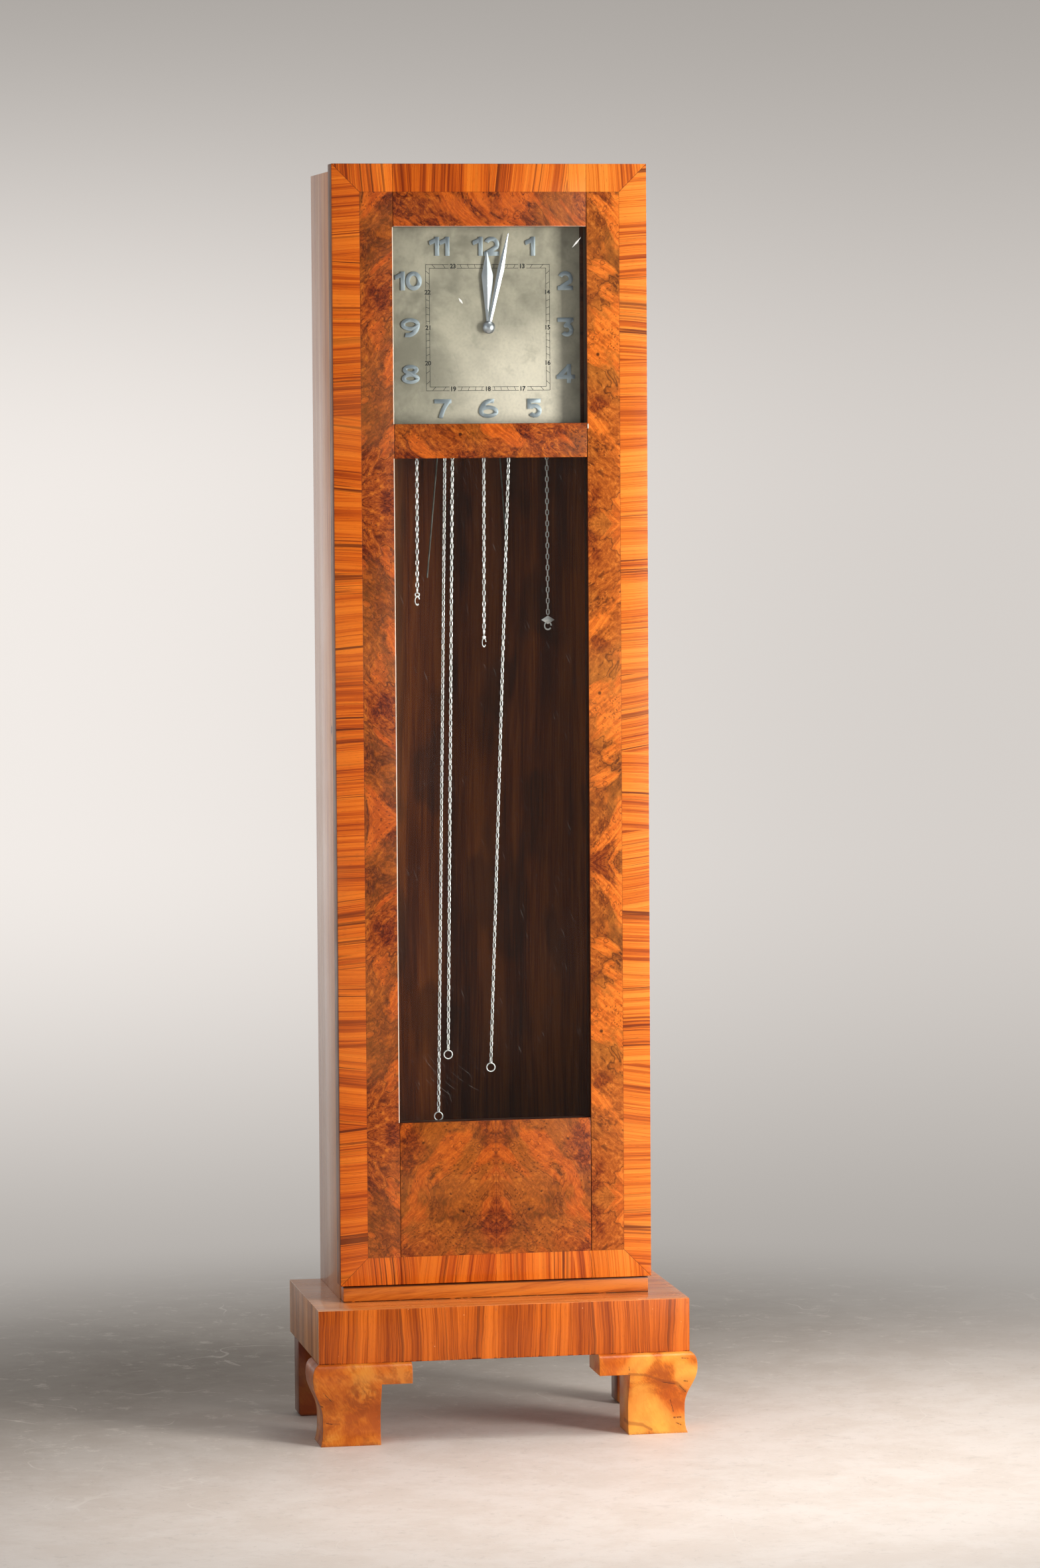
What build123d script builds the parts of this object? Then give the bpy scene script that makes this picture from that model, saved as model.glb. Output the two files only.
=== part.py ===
from build123d import *
import os
from math import atan2, cos, degrees, hypot, pi, radians, sin, sqrt

# Longcase clock with a square dial and three chain-driven trains.
# Millimetres.  +X is the viewer's right, the clock faces -Y, +Z is up.
# The origin is on the floor, under the middle of the footprint.

# ---------------------------------------------------------------- driving dimensions
# plinth and feet
plinth_width = 560.0
plinth_depth = 302.0
plinth_height = 80.0
plinth_board = 18.0
foot_height = 123.5
foot_bulge = 10.0          # how far the swelling of a front foot stands out
swell_height = 103.0
waist_height = 40.0
foot_waist = 6.5           # how far its narrowest part draws in
foot_toe = 2.5             # how far its sole stays in
foot_leg_width = 93.0
foot_arm_width = 139.0
foot_arm_height = 31.0
foot_depth = 70.0
back_foot_width = 54.0
back_foot_depth = 45.0
back_foot_inset = 6.0
back_foot_chamfer = 4.0

# case
case_width = 465.0
case_depth = 198.0
case_board = 18.0
back_board = 8.0
rail_height = 23.0
rail_recess = 2.0          # the rail's face behind the door's face
rail_inset = 1.0

# door
door_width = 472.0
door_thickness = 35.0
door_case_gap = 1.0
door_rail_gap = 1.5
window_width = 290.0
dial_window_height = 290.0
trunk_window_height = 987.5
bottom_panel_height = 242.5
middle_rail_height = 51.0
top_rail_height = 92.5
door_overhang = 9.5        # the door's top edge above the case's
tenon_thickness = 12.0
tenon_length = 25.0
tenon_clearance = 0.1
glass_lip = 7.0            # wood left in front of the glass
glass_thickness = 3.0
glass_rebate = 8.0
tenon_shoulder = glass_rebate + 2.0
glass_clearance = 0.5
bead_depth = 15.5

# hinges
hinge_height = 64.0
hinge_leaf_width = 22.0
hinge_leaf_thickness = 1.5
hinge_leaf_gap = 0.2
hinge_knuckle_radius = 3.2
hinge_pin_radius = 1.4
hinge_pin_clearance = 0.05
hinge_knuckles = 5
hinge_knuckle_gap = 0.3
hinge_stand = 3.4          # hinge axis beyond the door's edge
hinge_end_distance = 170.0
hinge_recess_clearance = 0.1

# ball catch
catch_height = 1045.0
catch_body_width = 7.0
catch_body_depth = 24.0
catch_body_height = 26.0
catch_body_wall = 0.5
catch_setback = 6.0
catch_ball_radius = 3.0
catch_ball_length = 5.0
catch_ball_reach = 1.2
catch_ball_clearance = 0.05
catch_tongue_clearance = 0.5
catch_tongue_thickness = 3.0
catch_tongue_height = 14.0
catch_tongue_length = 24.0
catch_foot_width = 22.0
catch_foot_thickness = 1.5

# movement
movement_offset = 3.3      # the movement hangs a little right of the case's middle
dial_drop = 2.9            # dial centre below the middle of its window
dial_setback = 40.0        # dial face behind the door's face
dial_size = 300.0
dial_thickness = 2.0
dial_hole_radius = 5.5
dial_post_radius = 3.0
dial_post_x = 105.0
dial_post_z = 78.0
mask_thickness = 4.0
mask_side_clearance = 5.8  # round the outermost numerals
mask_low_clearance = 10.1
mask_high_clearance = 15.9
mask_lower_margin = 27.0
plate_width = 244.0
plate_rise = 91.0          # plate above the dial centre
plate_drop = 93.0          # plate below the dial centre
plate_thickness = 3.0
plate_gap = 52.0
motion_space = 24.0        # between dial plate and front plate
pillar_radius = 5.0
pillar_margin = 10.0
pillar_nut_radius = 7.0
pillar_nut_height = 4.0
pivot_radius = 1.2
arbor_radius = 2.0
great_arbor_radius = 3.0
light_arbor_radius = 1.5
running_clearance = 0.05
end_shake = 0.3
wheel_rim = 3.0            # in modules
wheel_hub_radius = 6.0
wheel_hub_rise = 3.0
wheel_spoke = 4.0
wheel_thickness = 2.0
great_wheel_thickness = 3.0
pinion_margin = 1.0        # a pinion's extra length past each face of its wheel
centre_wheel_setback = 4.0
third_wheel_setback = 15.0
side_great_gap = 3.5
intermediate_wheel_gap = 6.0
escape_wheel_gap = 12.5
cannon_gap = 3.0
hour_wheel_gap = 2.5
seat_thickness = 18.0
seat_depth = 80.0
seat_front_margin = 8.0
cleat_size = 22.0
chain_slot_margin = 7.0
chain_slot_width = 18.0

# chains
chain_width = 5.6
chain_clearance = 0.4
chain_plane = 28.0         # chains behind the front plate's face
sprocket_flange = 1.2
sprocket_flange_gap = 0.8
sprocket_flange_rise = 1.0
ratchet_teeth = 24
ratchet_radius = 14.0
ratchet_depth = 2.0
ratchet_thickness = 1.2
ratchet_gap = 0.5
sprocket_drop = 45.1       # sprockets below the dial centre
hook_wire = 0.9
hook_plate_width = 16.0
hook_plate_height = 10.0
hook_plate_thickness = 1.6
hook_bow_radius = 4.5
ring_radius = 7.2

# hands and numerals
hour_hand_length = 111.0
hour_hand_width = 17.3
hour_hand_widest = 77.0
hour_hand_angle = -1.0
minute_hand_length = 142.0
minute_hand_width = 9.6
minute_hand_widest = 89.0
minute_hand_angle = 12.1
hand_thickness = 0.8
hand_ridge = 1.2
hand_hub_wall = 2.5
hand_root_width = 4.0
hand_tip_width = 1.4
hand_gap = 1.8
numeral_height = 28.0
numeral_shares = {0: 0.86, 1: 0.54, 2: 0.82, 3: 0.86, 4: 1.0, 5: 0.93, 6: 1.04, 7: 0.91, 8: 0.96, 9: 1.02}
numeral_stroke = 6.2
numeral_relief = 2.0
numeral_row = 120.0        # middle of the upper and lower numerals from the dial centre
numeral_column = 117.0     # middle of the outer numerals from the dial centre
numeral_step = 69.0        # from the middle of a side to the numerals beside it
numeral_pair_pitch = 21.0  # between the figures of 10 and of 12
numeral_eleven_pitch = 15.5
numeral_one_inset = 5.0
numeral_five_inset = 2.0
numeral_eleven_outset = 3.75
numeral_ten_outset = 5.0
numeral_twelve_shift = 4.5
boss_radius = 9.5
boss_height = 4.4

# rod gong and hammers
gong_plane = 21.0          # rods in front of the back board
gong_block_width = 90.0
gong_block_height = 30.0
gong_block_depth = 28.0
gong_block_rise = 3.9      # top of the block above the dial centre
gong_rod_radius = 1.25
gong_left_x = -31.3        # rods at the underside of their block
gong_right_x = 38.6
gong_left_slope = -0.0925  # how far they lean per millimetre down
gong_right_slope = 0.0665
gong_left_length = 350.0
gong_right_length = 313.0
hammer_axis_x = 30.0
hammer_axis_rise = 38.9    # above the dial centre
hammer_setback = 6.0       # hammer arms in front of the gong block
hammer_head_radius = 5.0
hammer_head_length = 12.0
hammer_head_stem = 2.0
hammer_gap = 2.5
hammer_strike_drop = 51.1  # where the heads meet the rods, below the dial centre
hammer_arm_radius = 1.5

# anchor, crutch and the cock for the pendulum
anchor_clearance = 1.6     # pallets clear of the escape wheel
anchor_band = 4.0
anchor_arbor_gap = 1.4
anchor_stem_width = 5.0
crutch_gap = 7.0
crutch_length = 75.0
crutch_width = 4.0
crutch_thickness = 2.0
fork_width = 10.0
fork_height = 4.0
fork_reach = 9.0
cock_foot_width = 32.0
cock_foot_thickness = 3.0
cock_rise = 8.0            # cock's foot above the anchor arbor
cock_arm_rise = 5.0
cock_arm_width = 10.0
cock_arm_height = 8.0
cock_reach = 21.0
cock_slot_depth = 8.0
spring_thickness = 0.4
spring_slot_clearance = 0.2
spring_width = 6.0
spring_length = 25.0
spring_pin_radius = 1.2

# ---------------------------------------------------------------- derived planes and places
plinth_half = plinth_width / 2
plinth_front = -(plinth_depth - foot_bulge) / 2
plinth_back = plinth_front + plinth_depth
plinth_top = foot_height + plinth_height
case_half = case_width / 2
case_inner = case_half - case_board
case_back = plinth_back
case_front = case_back - case_depth
inner_back = case_back - back_board
door_half = door_width / 2
door_back = case_front - door_case_gap
door_front = door_back - door_thickness
door_bottom = plinth_top + rail_height + door_rail_gap
window_half = window_width / 2
trunk_window_bottom = door_bottom + bottom_panel_height
trunk_window_top = trunk_window_bottom + trunk_window_height
dial_window_bottom = trunk_window_top + middle_rail_height
dial_window_top = dial_window_bottom + dial_window_height
door_top = dial_window_top + top_rail_height
case_top = door_top - door_overhang
glass_front = door_front + glass_lip
glass_back = glass_front + glass_thickness
rebate_half = window_half + glass_rebate
hinge_x = door_half + hinge_stand
hinge_y = (door_back + case_front) / 2
hinge_heights = [
    door_bottom + hinge_end_distance,
    (door_bottom + door_top) / 2,
    door_top - hinge_end_distance,
]

centre_x = movement_offset
centre_z = (dial_window_bottom + dial_window_top) / 2 - dial_drop
dial_face = door_front + dial_setback
dial_back = dial_face + dial_thickness
mask_front = dial_face - mask_thickness
numeral_reach_x = numeral_column + numeral_ten_outset + numeral_pair_pitch / 2 + numeral_height / 4
numeral_reach_z = numeral_row + numeral_height / 2
mask_half = numeral_reach_x - centre_x + mask_side_clearance
mask_opening_bottom = centre_z - numeral_reach_z - mask_low_clearance
mask_opening_top = centre_z + numeral_reach_z + mask_high_clearance
front_plate_front = dial_back + motion_space
front_plate_back = front_plate_front + plate_thickness
back_plate_front = front_plate_back + plate_gap
back_plate_back = back_plate_front + plate_thickness
plate_left = centre_x - plate_width / 2
plate_right = centre_x + plate_width / 2
plate_bottom = centre_z - plate_drop
plate_top = centre_z + plate_rise
chain_y = front_plate_front + chain_plane
sprocket_z = centre_z - sprocket_drop
sprocket_front = chain_y - chain_width / 2 - sprocket_flange_gap - sprocket_flange
sprocket_back = chain_y + chain_width / 2 + sprocket_flange_gap + sprocket_flange
seat_front = front_plate_front - seat_front_margin
seat_top = plate_bottom
seat_bottom = seat_top - seat_thickness

numeral_front = dial_face - numeral_relief
hour_hand_back = numeral_front - hand_gap
hour_hand_front = hour_hand_back - hand_thickness - hand_ridge
minute_hand_back = hour_hand_front - hand_gap
minute_hand_front = minute_hand_back - hand_thickness
gong_y = inner_back - gong_plane
gong_block_top = centre_z + gong_block_rise
gong_block_bottom = gong_block_top - gong_block_height
gong_block_front = inner_back - gong_block_depth
hammer_axis_z = centre_z + hammer_axis_rise
hammer_strike_z = centre_z - hammer_strike_drop

# each train: sprocket centre, chain radius, side of the weight hook (+1 right),
# where the two falls end and how far they lean while they hang
trains = {
    "strike": dict(
        x=-73.7, radius=22.1, hook_side=-1, hook_z=1237.2, hook_lean=-1.7, ring_z=459.6, ring_lean=-19.4
    ),
    "going": dict(
        x=-17.3, radius=23.2, hook_side=1, hook_z=1174.1, hook_lean=-2.3, ring_z=552.7, ring_lean=-15.0
    ),
    "chime": dict(
        x=74.6, radius=26.3, hook_side=1, hook_z=1202.7, hook_lean=0.6, ring_z=531.6, ring_lean=-39.0
    ),
}

# gear train: module, wheel teeth, pinion leaves for each mesh
great_module = 1.0
great_teeth = 72
intermediate_leaves = 12
side_great_module = 1.1
side_great_teeth = 70
intermediate_module = 0.9
intermediate_teeth = 48
centre_leaves = 12
centre_module = 0.55
centre_teeth = 80
third_leaves = 8
third_module = 0.7
third_teeth = 48
escape_leaves = 8
escape_teeth = 30
escape_radius = 16.0
escape_depth = 4.0
escape_rim = 2.5
escape_thickness = 1.5
escape_rise = 40.0         # escape arbor above the centre arbor
cannon_module = 0.8
cannon_leaves = 12
minute_wheel_teeth = 36
minute_leaves = 10
hour_teeth = 40
minute_stud_radius = 1.5
cannon_pipe_radius = 3.2
hour_pipe_radius = 4.5

parts = {}


# ---------------------------------------------------------------- helpers
def block(x0, x1, y0, y1, z0, z1):
    """A board between two opposite corners."""
    return Pos((x0 + x1) / 2, (y0 + y1) / 2, (z0 + z1) / 2) * Box(x1 - x0, y1 - y0, z1 - z0)


def group(*pieces):
    """Separate solids kept together as one node."""
    solids = [solid for piece in pieces for solid in piece.solids()]
    return Compound(solids)


def along_y(sketch, x, z, y0, y1):
    """A shape drawn as seen from the front, made solid from y0 back to y1."""
    place = Plane(origin=(x, y1, z), x_dir=(1, 0, 0), z_dir=(0, -1, 0))
    return place * extrude(sketch, y1 - y0, dir=(0, 0, 1))


def spindle(radius, x, z, y0, y1):
    """A round bar lying front to back."""
    return along_y(Circle(radius), x, z, y0, y1)


def bar(start, end, radius):
    """A round bar between two points."""
    run = Vector(*end) - Vector(*start)
    foot = Plane(origin=start, z_dir=run)
    return foot * Cylinder(radius, run.length, align=(Align.CENTER, Align.CENTER, Align.MIN))


def toothed(teeth, root, tip, root_share, tip_share, turn=0.0, lean=0.0):
    """A toothed outline: each tooth takes a share of the pitch at its root and at its tip."""
    pitch = 2 * pi / teeth
    points = []
    for index in range(teeth):
        middle = index * pitch + radians(turn)
        for radius, offset in (
            (root, -root_share / 2),
            (tip, lean - tip_share / 2),
            (tip, lean + tip_share / 2),
            (root, root_share / 2),
        ):
            angle = middle + offset * pitch
            points.append((radius * sin(angle), radius * cos(angle)))
    return make_face(Polyline(*points, close=True))


def wheel_outline(teeth, module, turn=0.0):
    """A wheel's toothed outline with narrow straight-sided teeth."""
    pitch_radius = teeth * module / 2
    return toothed(teeth, pitch_radius - 1.1 * module, pitch_radius + 0.7 * module, 0.46, 0.2, turn)


def pinion_outline(leaves, module, turn=0.0):
    """A pinion's toothed outline, with shorter leaves than the wheel's teeth."""
    pitch_radius = leaves * module / 2
    return toothed(leaves, pitch_radius - 1.1 * module, pitch_radius + 0.5 * module, 0.36, 0.16, turn)


def crossed_out(outline, rim_radius):
    """Cut four windows out of a wheel and leave a rim, a hub and four arms."""
    window = Circle(rim_radius) - Circle(wheel_hub_radius)
    for slope in (45, 135):
        window -= Rot(0, 0, slope) * Rectangle(2 * rim_radius + wheel_spoke, wheel_spoke)
    return outline - window


def spoked_wheel(teeth, module, turn=0.0):
    """A toothed wheel's outline with its four arms."""
    root = teeth * module / 2 - 1.1 * module
    return crossed_out(wheel_outline(teeth, module, turn), root - wheel_rim * module)


def arbor(x, z, radius, y0=front_plate_back, y1=back_plate_front):
    """An arbor between the plates, with a pivot running in each plate."""
    body = spindle(radius, x, z, y0 + end_shake, y1 - end_shake)
    return body + spindle(pivot_radius, x, z, y0 - plate_thickness, y1 + plate_thickness)


def clock_angle(from_x, from_z, to_x, to_z):
    """Direction from one arbor to another, in degrees clockwise from straight up."""
    return degrees(atan2(to_x - from_x, to_z - from_z))


def meshing_turn(driver_teeth, driver_turn, own_teeth, line):
    """Turn of a wheel whose gap faces the driver's tooth on the line of centres."""
    driver_pitch = 360 / driver_teeth
    own_pitch = 360 / own_teeth
    phase = ((line - driver_turn) / driver_pitch) % 1.0
    return line + 180 + (phase + 0.5) * own_pitch


def third_corner(ax, az, a_distance, bx, bz, b_distance, side):
    """The point at given distances from two arbors, on the left (-1) or right (+1) of a to b."""
    span = hypot(bx - ax, bz - az)
    ux = (bx - ax) / span
    uz = (bz - az) / span
    along = (a_distance ** 2 - b_distance ** 2 + span ** 2) / (2 * span)
    off = sqrt(a_distance ** 2 - along ** 2)
    return ax + along * ux + side * off * uz, az + along * uz - side * off * ux


# ---------------------------------------------------------------- feet and plinth
def ogee_face(face, outward, back):
    """A front foot's section: a swelling, a waist and a flared toe, closed by a straight back."""
    swell = face + outward * foot_bulge
    waist = face - outward * foot_waist
    toe = face - outward * foot_toe
    upper = Spline((face, foot_height), (swell, swell_height), tangents=((outward, -0.3), (0, -1)))
    middle = Spline((swell, swell_height), (waist, waist_height), tangents=((0, -1), (0, -1)))
    lower = Spline((waist, waist_height), (toe, 0), tangents=((0, -1), (outward * 0.45, -1)))
    rest = Polyline((toe, 0), (back, 0), (back, foot_height), (face, foot_height))
    return make_face(upper + middle + lower + rest)


def front_foot():
    """The right front bracket foot, shaped on its front and its outer side."""
    inner = plinth_half - foot_arm_width
    foot_back = plinth_front + foot_depth
    front_shape = Plane.YZ * ogee_face(plinth_front, -1, foot_back)
    from_front = extrude(front_shape, plinth_width, both=True)
    side_shape = ogee_face(plinth_half, 1, inner)
    from_side = along_y(side_shape, 0, 0, plinth_front - 2 * foot_bulge, foot_back)
    leg_left = plinth_half - foot_leg_width
    outside = plinth_half + 2 * foot_bulge
    outline = block(leg_left, outside, plinth_front - 2 * foot_bulge, foot_back, 0, foot_height)
    arm_bottom = foot_height - foot_arm_height
    outline += block(inner, leg_left, plinth_front - 2 * foot_bulge, foot_back, arm_bottom, foot_height)
    return from_front & from_side & outline


def make_feet():
    right = front_foot()
    parts["foot_front_right"] = right
    parts["foot_front_left"] = mirror(right, Plane.YZ)
    outer = plinth_half - back_foot_inset
    back = plinth_back - back_foot_inset / 2
    leg = block(outer - back_foot_width, outer, back - back_foot_depth, back, 0, foot_height)
    leg = chamfer(leg.faces().sort_by(Axis.Z)[0].edges(), back_foot_chamfer)
    parts["foot_back_right"] = leg
    parts["foot_back_left"] = mirror(leg, Plane.YZ)


def make_plinth():
    inner = plinth_half - plinth_board
    front = plinth_front + plinth_board
    back = plinth_back - plinth_board
    bottom = foot_height
    parts["plinth_front"] = block(-plinth_half, plinth_half, plinth_front, front, bottom, plinth_top)
    side = block(inner, plinth_half, front, plinth_back, bottom, plinth_top)
    parts["plinth_side_right"] = side
    parts["plinth_side_left"] = mirror(side, Plane.YZ)
    parts["plinth_back_rail"] = block(-inner, inner, back, plinth_back, bottom, plinth_top)
    parts["plinth_top"] = block(-inner, inner, front, back, plinth_top - plinth_board, plinth_top)


# ---------------------------------------------------------------- case
def hinge_recess(leaf_back, leaf_front):
    """Pockets for the three leaves let into a case side or a door stile."""
    pockets = None
    for height in hinge_heights:
        half = hinge_height / 2 + hinge_recess_clearance
        pocket = block(
            hinge_x - hinge_leaf_width - hinge_recess_clearance,
            hinge_x,
            leaf_front,
            leaf_back,
            height - half,
            height + half,
        )
        pockets = pocket if pockets is None else pockets + pocket
    return pockets


def make_case():
    side = block(case_inner, case_half, case_front, case_back, plinth_top, case_top)
    parts["case_side_left"] = mirror(side, Plane.YZ)
    leaf_back = hinge_y + hinge_leaf_gap / 2 + hinge_leaf_thickness + hinge_recess_clearance
    parts["case_side_right"] = side - hinge_recess(leaf_back, case_front - 1)
    parts["case_top"] = block(
        -case_inner, case_inner, case_front, inner_back, case_top - case_board, case_top
    )
    parts["case_floor"] = block(
        -case_inner, case_inner, case_front, inner_back, plinth_top, plinth_top + case_board
    )
    parts["back_board"] = block(-case_inner, case_inner, inner_back, case_back, plinth_top, case_top)
    rail_half = case_half - rail_inset
    parts["front_rail"] = block(
        -rail_half, rail_half, door_front + rail_recess, case_front, plinth_top, plinth_top + rail_height
    )


def chain_run(train, side):
    """Place of one fall: x at the sprocket, lean in x per millimetre down, and its lower end."""
    hook = side == train["hook_side"]
    end_z = train["hook_z"] if hook else train["ring_z"]
    lean = train["hook_lean"] if hook else train["ring_lean"]
    return train["x"] + side * train["radius"], lean, end_z


def make_seat():
    """The board that the movement stands on, slotted for the chains, and its two cleats."""
    seat_back = seat_front + seat_depth
    board = block(-case_inner, case_inner, seat_front, seat_back, seat_bottom, seat_top)
    for train in trains.values():
        reach = train["radius"] + chain_slot_margin
        board -= block(
            train["x"] - reach,
            train["x"] + reach,
            chain_y - chain_slot_width / 2,
            chain_y + chain_slot_width / 2,
            seat_bottom,
            seat_top,
        )
    cleat = block(
        case_inner - cleat_size, case_inner, seat_front, seat_back, seat_bottom - cleat_size, seat_bottom
    )
    parts["seat_board"] = group(board, cleat, mirror(cleat, Plane.YZ))


def make_mask():
    """The thin board round the dial that closes the case behind the door's window."""
    board = block(
        -case_inner,
        case_inner,
        mask_front,
        dial_face,
        dial_window_bottom - mask_lower_margin,
        case_top - case_board,
    )
    opening = block(
        -mask_half,
        mask_half,
        mask_front,
        dial_face,
        mask_opening_bottom,
        mask_opening_top,
    )
    parts["dial_mask"] = board - opening


# ---------------------------------------------------------------- door
def window_rebates():
    """The rebates that hold both panes, cut from the back of the door."""
    cuts = None
    for bottom, top in (
        (trunk_window_bottom, trunk_window_top),
        (dial_window_bottom, dial_window_top),
    ):
        cut = block(
            -rebate_half, rebate_half, glass_front, door_back, bottom - glass_rebate, top + glass_rebate
        )
        cuts = cut if cuts is None else cuts + cut
    return cuts


def tenon(bottom, top, clearance=0.0):
    """Both tenons of a rail, or with a clearance the mortises that take them."""
    middle = (door_front + door_back) / 2
    reach = window_half + tenon_length + 2 * clearance
    return block(
        -reach,
        reach,
        middle - tenon_thickness / 2 - clearance,
        middle + tenon_thickness / 2 + clearance,
        bottom + tenon_shoulder - clearance,
        top - tenon_shoulder + clearance,
    )


def make_door():
    rebates = window_rebates()
    rails = {
        "bottom_panel": (door_bottom, trunk_window_bottom),
        "middle_rail": (trunk_window_top, dial_window_bottom),
        "top_rail": (dial_window_top, door_top),
    }
    stile = block(window_half, door_half, door_front, door_back, door_bottom, door_top) - rebates
    for name, (bottom, top) in rails.items():
        rail = block(-window_half, window_half, door_front, door_back, bottom, top) - rebates
        parts[name] = rail + tenon(bottom, top)
        stile -= tenon(bottom, top, tenon_clearance)
    parts["stile_left"] = mirror(stile, Plane.YZ)
    leaf_front = hinge_y - hinge_leaf_gap / 2 - hinge_leaf_thickness - hinge_recess_clearance
    parts["stile_right"] = stile - hinge_recess(door_back + 1, leaf_front)


def make_glazing():
    edge = rebate_half - glass_clearance
    strips = []
    for name, bottom, top in (
        ("trunk_glass", trunk_window_bottom, trunk_window_top),
        ("dial_glass", dial_window_bottom, dial_window_top),
    ):
        low = bottom - glass_rebate
        high = top + glass_rebate
        parts[name] = block(
            -edge, edge, glass_front, glass_back, low + glass_clearance, high - glass_clearance
        )
        bead_back = glass_back + bead_depth
        upright = block(window_half, rebate_half, glass_back, bead_back, low, high)
        strips += [upright, mirror(upright, Plane.YZ)]
        strips.append(block(-window_half, window_half, glass_back, bead_back, low, bottom))
        strips.append(block(-window_half, window_half, glass_back, bead_back, top, high))
    parts["glazing_beads"] = group(*strips)


# ---------------------------------------------------------------- hinges and catch
def hinge_leaf(height, y0, y1, own_knuckles):
    """One leaf with its own knuckles, bored for the pin."""
    half = hinge_height / 2
    plate_end = hinge_x - hinge_knuckle_radius - hinge_knuckle_gap
    leaf = block(hinge_x - hinge_leaf_width, plate_end, y0, y1, height - half, height + half)
    step = hinge_height / hinge_knuckles
    for index in own_knuckles:
        low = height - half + index * step + hinge_knuckle_gap / 2
        high = low + step - hinge_knuckle_gap
        leaf += block(plate_end, hinge_x, y0, y1, low, high)
        knuckle = Cylinder(hinge_knuckle_radius, high - low)
        leaf += Pos(hinge_x, hinge_y, (low + high) / 2) * knuckle
    bore = Cylinder(hinge_pin_radius + hinge_pin_clearance, hinge_height + 2)
    return leaf - Pos(hinge_x, hinge_y, height) * bore


def make_hinges():
    case_leaves = []
    door_leaves = []
    half_gap = hinge_leaf_gap / 2
    for height in hinge_heights:
        case_leaves.append(
            hinge_leaf(height, hinge_y + half_gap, hinge_y + half_gap + hinge_leaf_thickness, (0, 2, 4))
        )
        door_leaves.append(
            hinge_leaf(height, hinge_y - half_gap - hinge_leaf_thickness, hinge_y - half_gap, (1, 3))
        )
        pin = Cylinder(hinge_pin_radius, hinge_height)
        case_leaves.append(Pos(hinge_x, hinge_y, height) * pin)
    parts["case_hinge_leaves"] = group(*case_leaves)
    parts["door_hinge_leaves"] = group(*door_leaves)


def make_catch():
    """A sprung ball in the case's left side and the tongue on the door that passes it."""
    body_face = -case_inner + catch_body_width
    body_front = case_front + catch_setback
    ball_y = body_front + catch_body_depth / 2
    half = catch_body_height / 2
    body = block(
        -case_inner, body_face, body_front, body_front + catch_body_depth,
        catch_height - half, catch_height + half,
    )
    tip = body_face + catch_ball_reach
    across = Plane(origin=(tip, ball_y, catch_height), z_dir=(-1, 0, 0))
    ends = (Align.CENTER, Align.CENTER, Align.MIN)
    bore_length = catch_ball_reach + catch_body_width - catch_body_wall
    bore = Cylinder(catch_ball_radius + catch_ball_clearance, bore_length, align=ends)
    parts["catch_body"] = body - across * bore
    ball = Cylinder(catch_ball_radius, catch_ball_length, align=ends)
    ball = chamfer(ball.faces().sort_by(Axis.Z)[0].edges(), catch_ball_reach * 0.8)
    parts["catch_ball"] = across * ball
    blade_left = tip + catch_tongue_clearance
    blade_back = door_back + catch_tongue_length
    blade_half = catch_tongue_height / 2
    foot_back = door_back + catch_foot_thickness
    blade = block(
        blade_left, blade_left + catch_tongue_thickness, door_back, blade_back,
        catch_height - blade_half, catch_height + blade_half,
    )
    foot = block(
        blade_left, blade_left + catch_foot_width, door_back, foot_back,
        catch_height - half, catch_height + half,
    )
    parts["catch_tongue"] = blade + foot


# ---------------------------------------------------------------- movement
great_x = trains["going"]["x"]
great_turn = 0.0           # turn of the going great wheel's first tooth from straight up
intermediate_x, intermediate_z = third_corner(
    great_x,
    sprocket_z,
    great_module * (great_teeth + intermediate_leaves) / 2,
    centre_x,
    centre_z,
    intermediate_module * (intermediate_teeth + centre_leaves) / 2,
    -1,
)
escape_z = centre_z + escape_rise
third_x, third_z = third_corner(
    centre_x,
    centre_z,
    centre_module * (centre_teeth + third_leaves) / 2,
    centre_x,
    escape_z,
    third_module * (third_teeth + escape_leaves) / 2,
    1,
)
anchor_z = escape_z + escape_radius + anchor_clearance + anchor_band + anchor_arbor_gap
motion_distance = cannon_module * (cannon_leaves + minute_wheel_teeth) / 2
hour_module = 2 * motion_distance / (minute_leaves + hour_teeth)
minute_stud_x = centre_x - motion_distance * sin(pi / 4)
minute_stud_z = centre_z - motion_distance * sin(pi / 4)


def layer(front, thickness=wheel_thickness):
    """Front and back of a wheel that lies between the plates."""
    return front, front + thickness


centre_layer = layer(front_plate_back + centre_wheel_setback)
third_layer = layer(front_plate_back + third_wheel_setback)
great_layer = layer(sprocket_back + ratchet_thickness + ratchet_gap, great_wheel_thickness)
side_great_layer = layer(great_layer[1] + side_great_gap, great_wheel_thickness)
intermediate_layer = layer(back_plate_front - intermediate_wheel_gap - wheel_thickness)
escape_layer = layer(back_plate_front - escape_wheel_gap - escape_thickness, escape_thickness)
cannon_layer = layer(front_plate_front - cannon_gap - wheel_thickness)
hour_layer = layer(cannon_layer[0] - hour_wheel_gap - wheel_thickness)


def pivot_hole(x, z, radius, y0, y1):
    """A pivot's running hole through a plate."""
    return spindle(radius + running_clearance, x, z, y0, y1)


def plate_pivots():
    """Every arbor that runs in both plates."""
    places = [
        (intermediate_x, intermediate_z),
        (third_x, third_z),
        (centre_x, escape_z),
        (centre_x, anchor_z),
    ]
    places += [(train["x"], sprocket_z) for train in trains.values()]
    return places


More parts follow.
